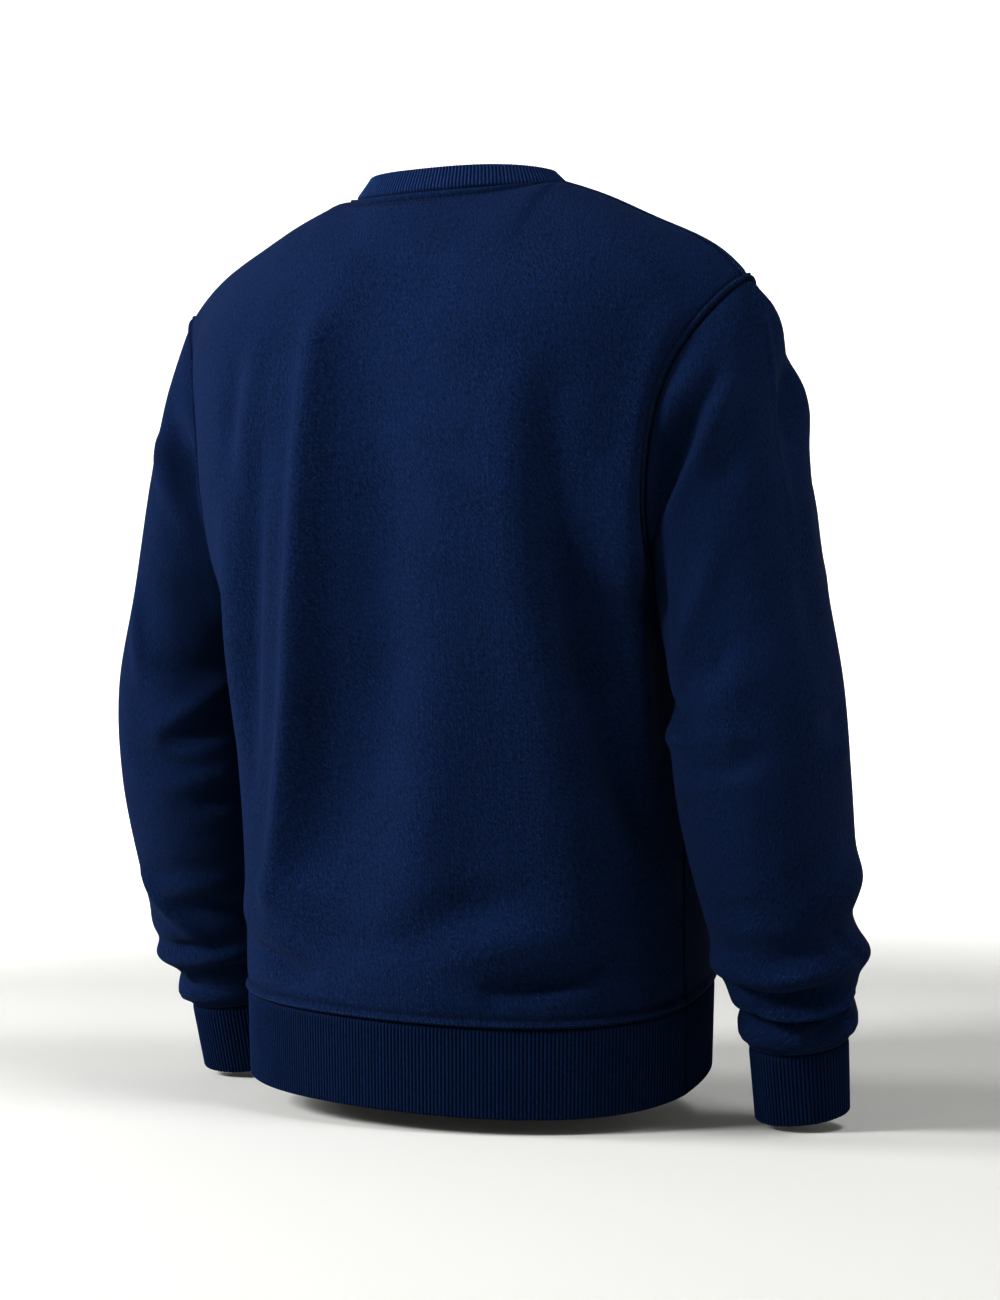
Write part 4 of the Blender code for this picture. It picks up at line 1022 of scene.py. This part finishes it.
LEFT_SLEEVE_FOLDS = (
    # from_turn in degrees, from_up, to_turn, to_up, bow, width, height in mm
    (48, 486, 112, 412, 2, 11, -14),
    (46, 466, 98, 398, 2, 9, 5),
    (62, 350, 84, 285, 0, 10, 5),
    (98, 352, 132, 336, 0, 12, -4),
    (102, 289, 165, 284, -3, 12, -5.5),
    (100, 240, 162, 270, 0, 10, 6),
    (112, 232, 176, 242, 0, 10, -8.5),
    (165, 219, 115, 221, 0, 8, 3),
    (80, 221, 142, 203, 0, 7, -3.5),
    (104, 194, 166, 201, 0, 9, 4.5),
    (174, 187, 134, 179, 0, 9, -5),
    (124, 166, 172, 168, 0, 9, 3),
    (78, 126, 150, 123, 0, 9, -3),
    (90, 109, 138, 111, 0, 9, 3),
    (59, 118, 107, 67, 0, 8, 6),
    (98, 93, 175, 84, 0, 9, -8),
    (-16, 236, 26, 218, 0, 11, -4),
    (-84, 470, -40, 410, -4, 13, -5.5),
    (-112, 350, -46, 330, 3, 15, 4.5),
    (-160, 262, -92, 250, 3, 13, -5.5),
    (-150, 220, -90, 232, 0, 12, 4.5),
    (-150, 156, -54, 170, 3, 14, -4.5),
    (-60, 74, 70, 72, 2, 14, 4),
    (52, 58, 145, 60, -3, 7, -7.5),
    (-120, 46, 150, 48, 2, 9, 8.5),
    (88, 30, 160, 38, 0, 6, -8),
    (44, 22, 145, 20, -1, 6, -6.5),
    (-100, 29, 60, 30, 3, 7, -6),
    (-150, 13, 160, 12, 0, 8, 7.5),
)


def girths(form):
    """Distance round a tube at each of its rows."""
    closed = np.concatenate([form, form[:, :1]], axis=1)
    return np.array([lengths(row)[-1] for row in closed])[:, None]


def sleeve_heights(form, angles, folds):
    """Height over a sleeve's form, and the flat cloth's across and up at every point."""
    girth = girths(form)
    down = down_columns(form)
    up = down[-1] - down
    across = angles / (2 * math.pi) * girth
    heights = fold_relief(across, up, folds, girth / 360.0, girth)
    heights *= ease(np.minimum(down, up * FADE_AT_SEAM / FADE_AT_CUFF) / FADE_AT_SEAM)
    heights += np.interp(down, *ROLL_PROFILE) + np.interp(up, *BAND_PROFILE) * CUFF_BAND_SHARE
    # Painted shade in the sewn lines: full at the armhole seam, a share of it at the cuff seam.
    at_cuff = np.interp(up, *BAND_PAINTED_SHADE_PROFILE) * CUFF_PAINTED_SHADE_SHARE
    painted_seam_shade = np.maximum(np.interp(down, *SEAM_PAINTED_SHADE_PROFILE), at_cuff)
    return heights, across, up, painted_seam_shade


def roll_columns(values, count):
    """Columns of a tube turned so that the first stands at the underarm seam, then closed."""
    turned = np.roll(values, -count, axis=1)
    return np.concatenate([turned, turned[:, :1]], axis=1)


def add_sleeve(name, folds):
    """A sleeve with its folds. Its columns start and end at the underarm seam."""
    form, normal = forms[name], normals[name]
    heights, across, up, painted_seam_shade = sleeve_heights(form, sleeve_angles, folds)
    outer = form + normal * heights[:, :, None]
    inner = form + normal * (heights - FLEECE_WALL)[:, :, None]
    half = form.shape[1] // 2
    stitch_paths.append(np.concatenate([outer, outer[:, :1]], axis=1)[-1 - STITCH_STOP])
    flat_across = roll_columns(across, half)
    flat_across[:, form.shape[1] - half:] += girths(form)
    turned = [np.roll(values, -half, axis=1) for values in (outer, inner, painted_seam_shade)]
    flat = flat_across, roll_columns(up, half)
    return add_wall(name + "_cloth", *turned[:2], *flat, turned[2], True, FLEECE)


left_sleeve = add_sleeve("left_sleeve", LEFT_SLEEVE_FOLDS)
right_sleeve = add_sleeve("right_sleeve", RIGHT_SLEEVE_FOLDS)
for piece, node, cuff in (
    (left_sleeve, "left_sleeve", "left_cuff"),
    (right_sleeve, "right_sleeve", "right_cuff"),
):
    dress(piece, node)


# ---------------------------------------------------------------- collar, hem and cuffs: cloth
# Bands of cotton rib, folded double and sewn on stretched. Ribs stand up in rounded cords with
# narrow valleys, and the two halves of the hem meet in a groove under the side seams.
RIB_WALL = 0.0024
COLLAR_CUT = (0.52, 0.021)
HEM_CUT = (0.48, 0.065)
CUFF_CUT = (0.20, 0.054)
RIB_PITCH = 0.0028
RIB_HEIGHT = 0.0011
POINTS_PER_RIB = 8
RIB_ROUNDNESS = 0.7
# Share of the painted seam shade on a rib band.
RIB_PAINTED_SHADE_SHARE = 0.6
SIDE_SEAM_FADE = 0.004
# Cords start over this distance from the seam, and end over this one past the folded edge.
CORD_START = 0.0025
CORD_END = 0.0024
# Rib knit is smooth, so its crowns catch the light and its valleys go nearly black. That light
# and shade are painted into its colour along the cords: a painted highlight on the crowns and
# painted shade in the valleys. Its courses are drawn at twice their pitch, like the fleece's.
# The collar's rib is a paler copy, with painted light for the light that falls on it from above.
RIB_CROWN_PAINTED_LIGHT = "#0b1f3d"
RIB_VALLEY_PAINTED_SHADE = "#040d21"
# The collar's colours are a paler copy of the rib's: painted light, for the light that falls on the
# collar from above.
COLLAR_CROWN_PAINTED_LIGHT = "#1b2f52"
COLLAR_VALLEY_PAINTED_LIGHT_AND_SHADE = "#07142e"
GRAIN_LENGTH = 0.0030
GRAIN_WIDTH = 0.0009
UNEVEN_LENGTH = 0.0500
COURSE_PITCH = 0.0012
COURSE_SHARE = 0.4
COURSE_HEIGHT = 0.0004


def rib_material(name, crown_painted_light, valley_painted_shade):
    """Cotton rib knit: smoother than the fleece, with fine courses, deep valleys, painted
    highlights on its crowns and painted shade in its valleys.
    """
    material, tree, shader = new_material(name)
    flat = add_node(tree, "ShaderNodeUVMap", uv_map="cloth").outputs["UV"]
    grain = cloth_streaks(tree, flat, 0.0, GRAIN_WIDTH, GRAIN_LENGTH)
    uneven = cloth_streaks(tree, flat, 0.0, RIB_PITCH, UNEVEN_LENGTH)
    cords = add_node(
        tree, "ShaderNodeTexWave", {"Vector": flat, "Scale": WAVE / RIB_PITCH},
        wave_type="BANDS", bands_direction="X",
    )
    courses = add_node(
        tree, "ShaderNodeTexWave",
        {"Vector": flat, "Scale": WAVE / (2 * COURSE_PITCH), "Distortion": 1.2,
         "Detail Scale": 3.0},
        wave_type="BANDS", bands_direction="Y",
    )
    tone = None
    for layer, low, high, start, end in (
        (grain, 0.30, 0.70, 0.32, 1.12),
        (uneven, 0.30, 0.70, 0.70, 1.15),
        (cords.outputs["Fac"], 0.10, 0.95, 0.0, 1.0),
    ):
        ranged = add_node(
            tree, "ShaderNodeMapRange", {0: layer, 1: low, 2: high, 3: start, 4: end}
        ).outputs["Result"]
        if tone is not None:
            ranged = add_node(
                tree, "ShaderNodeMath", {0: tone, 1: ranged}, operation="MULTIPLY"
            ).outputs[0]
        tone = ranged
    # Painted light and shade: along the cords the colour runs from the valley colour, painted
    # shade, to the crown colour, a painted highlight, with random tone from the grain and uneven
    # streaks.
    colour = add_node(
        tree, "ShaderNodeMix", {0: tone, 6: linear(valley_painted_shade), 7: linear(crown_painted_light)}, data_type="RGBA"
    )
    raised = add_node(
        tree, "ShaderNodeMath", {0: courses.outputs["Fac"], 1: COURSE_SHARE}, operation="MULTIPLY"
    )
    height = add_node(tree, "ShaderNodeMath", {0: raised.outputs[0], 1: grain}, operation="ADD")
    finish_cloth(
        tree, shader, colour.outputs[2],
        {"Height": height.outputs[0], "Strength": 0.5, "Distance": COURSE_HEIGHT},
        {"Roughness": 0.88, "Sheen Weight": 0.02, "Sheen Roughness": 0.5},
    )
    return material


def add_rib_band(name, material):
    """A rib band: cords over its form, a rolled seam and a rounded folded edge."""
    form, normal = forms[name], normals[name]
    closed = name in TUBES
    if closed:
        form = np.concatenate([form, form[:, :1]], axis=1)
        normal = np.concatenate([normal, normal[:, :1]], axis=1)
    run = lengths(form[0])
    ribs = int(round(run[-1] / RIB_PITCH))
    points = ribs * POINTS_PER_RIB
    stops = np.linspace(0, run[-1], points + 1)
    place = np.interp(stops, run, np.arange(len(run)))
    low = np.clip(np.floor(place).astype(int), 0, len(run) - 2)
    part = (place - low)[None, :, None]
    form = form[:, low] * (1 - part) + form[:, low + 1] * part
    normal = unit(normal[:, low] * (1 - part) + normal[:, low + 1] * part)
    phase = np.arange(points + 1) / POINTS_PER_RIB
    cords = np.abs(np.sin(np.pi * phase)) ** RIB_ROUNDNESS * RIB_HEIGHT
    down = down_columns(form)
    from_edge = down[-1] - down
    rounding = RIB_WALL / 2
    inset = np.maximum(rounding - from_edge, 0)
    rim = rounding - np.sqrt(rounding**2 - inset**2)
    calm = ease(np.minimum(down / CORD_START, (from_edge + rounding) / CORD_END))
    sunk = np.interp(down, *ROLL_PROFILE)
    # Painted shade: the colour darkens at the seam, and on the hem's halves also at the side seams.
    painted_seam_shade = np.interp(down, *SEAM_PAINTED_SHADE_PROFILE) * RIB_PAINTED_SHADE_SHARE
    if not closed:
        from_side = np.minimum(stops, run[-1] - stops)
        side_seam = np.interp(from_side, *ROLL_PROFILE) * ease(from_edge / SIDE_SEAM_FADE)
        sunk = np.minimum(sunk, side_seam)
        painted_seam_shade = np.maximum(painted_seam_shade, np.interp(from_side, *SEAM_PAINTED_SHADE_PROFILE))
    heights = cords * calm + sunk - rim
    outer = form + normal * heights[:, :, None]
    inner = form + normal * (rim - RIB_WALL)[:, :, None]
    across = np.broadcast_to(phase * RIB_PITCH, down.shape)
    if closed:
        outer, inner, painted_seam_shade = outer[:, :-1], inner[:, :-1], painted_seam_shade[:, :-1]
    return add_wall(name + "_cloth", outer, inner, across, from_edge, painted_seam_shade, closed, material)


RIB = rib_material("cotton_rib", RIB_CROWN_PAINTED_LIGHT, RIB_VALLEY_PAINTED_SHADE)
# The collar gets the paler copy of the rib, with painted light.
COLLAR_RIB_PAINTED_LIGHT = rib_material("collar_rib_painted_light", COLLAR_CROWN_PAINTED_LIGHT, COLLAR_VALLEY_PAINTED_LIGHT_AND_SHADE)
for node, material, cut, sewn_to in (
    ("neck_rib", COLLAR_RIB_PAINTED_LIGHT, COLLAR_CUT, "back_panel"),
    ("hem_rib_back", RIB, HEM_CUT, "back_panel"),
    ("hem_rib_front", RIB, HEM_CUT, "front_panel"),
    ("left_cuff", RIB, CUFF_CUT, "left_sleeve"),
    ("right_cuff", RIB, CUFF_CUT, "right_sleeve"),
):
    dress(add_rib_band(node, material), node)


# ---------------------------------------------------------------- stitching
# Rows of polyester thread where each folded allowance is sewn flat, a short stitch every few
# millimetres. Thread is a shade lighter than the cloth, with a slight twist in its shine.
STITCH_SPACING = 0.0033
STITCH_LENGTH = 0.0024
THREAD_RADIUS = 0.00032
STITCH_SIDES = 6
STITCH_RINGS = 4
THREAD_LIGHT = "#152a55"
THREAD_DEEP = "#0a1631"
TWISTS_PER_METRE = 900.0


def thread_material():
    """Polyester sewing thread, a shade lighter and glossier than the cloth."""
    material, tree, shader = new_material("sewing_thread")
    place = add_node(tree, "ShaderNodeTexCoord").outputs["Object"]
    twist = add_node(tree, "ShaderNodeTexNoise", {"Vector": place, "Scale": TWISTS_PER_METRE})
    colour = add_node(
        tree, "ShaderNodeMix",
        {0: twist.outputs["Fac"], 6: linear(THREAD_DEEP), 7: linear(THREAD_LIGHT)},
        data_type="RGBA",
    )
    looks = {"Base Color": colour.outputs[2], "Roughness": 0.7, "Specular IOR Level": 0.1}
    set_inputs(tree, shader, looks)
    return material


def stitch_tree():
    """Lays stitches along the lines of a mesh."""
    tree = bpy.data.node_groups.new("stitch_row", "GeometryNodeTree")
    sockets = {}
    tree.interface.new_socket("Lines", in_out="INPUT", socket_type="NodeSocketGeometry")
    for name in ("Spacing", "Stitch Length", "Thread Radius", "Thread"):
        kind = "NodeSocketMaterial" if name == "Thread" else "NodeSocketFloat"
        socket = tree.interface.new_socket(name, in_out="INPUT", socket_type=kind)
        sockets[name] = socket.identifier
    tree.interface.new_socket("Stitches", in_out="OUTPUT", socket_type="NodeSocketGeometry")
    start = add_node(tree, "NodeGroupInput")
    curve = add_node(tree, "GeometryNodeMeshToCurve", {"Mesh": start.outputs["Lines"]})
    points = add_node(
        tree, "GeometryNodeCurveToPoints",
        {"Curve": curve.outputs["Curve"], "Length": start.outputs["Spacing"]},
        mode="LENGTH",
    )
    ball = add_node(
        tree, "GeometryNodeMeshUVSphere",
        {"Segments": STITCH_SIDES, "Rings": STITCH_RINGS, "Radius": 1.0},
    )
    half = add_node(
        tree, "ShaderNodeMath", {0: start.outputs["Stitch Length"], 1: 0.5}, operation="MULTIPLY"
    )
    size = add_node(
        tree, "ShaderNodeCombineXYZ",
        {"X": start.outputs["Thread Radius"], "Y": start.outputs["Thread Radius"],
         "Z": half.outputs[0]},
    )
    laid = add_node(
        tree, "GeometryNodeInstanceOnPoints",
        {"Points": points.outputs["Points"], "Instance": ball.outputs["Mesh"],
         "Rotation": points.outputs["Rotation"], "Scale": size.outputs["Vector"]},
    )
    real = add_node(tree, "GeometryNodeRealizeInstances", {0: laid.outputs["Instances"]})
    shaded = add_node(
        tree, "GeometryNodeSetMaterial",
        {"Geometry": real.outputs[0], "Material": start.outputs["Thread"]},
    )
    end = add_node(tree, "NodeGroupOutput")
    tree.links.new(shaded.outputs["Geometry"], end.inputs["Stitches"])
    return tree, sockets


def add_stitches(name, paths):
    """All stitch rows as one plain mesh."""
    points, lines = [], []
    for path in paths:
        start = len(points)
        points += path.tolist()
        lines += [(start + k, start + k + 1) for k in range(len(path) - 1)]
    mesh = bpy.data.meshes.new(name)
    mesh.from_pydata(points, lines, [])
    guide = add_object(name, mesh)
    tree, sockets = stitch_tree()
    modifier = guide.modifiers.new("stitches", "NODES")
    modifier.node_group = tree
    modifier[sockets["Spacing"]] = STITCH_SPACING
    modifier[sockets["Stitch Length"]] = STITCH_LENGTH
    modifier[sockets["Thread Radius"]] = THREAD_RADIUS
    modifier[sockets["Thread"]] = THREAD
    bpy.context.view_layer.update()
    seen = guide.evaluated_get(bpy.context.evaluated_depsgraph_get())
    made = bpy.data.meshes.new_from_object(seen)
    guide.modifiers.remove(modifier)
    guide.data = made
    made.name = name
    made.shade_smooth()
    return guide


THREAD = thread_material()
seam_stitches = add_stitches("seam_stitches", stitch_paths)
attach(seam_stitches, BODY)
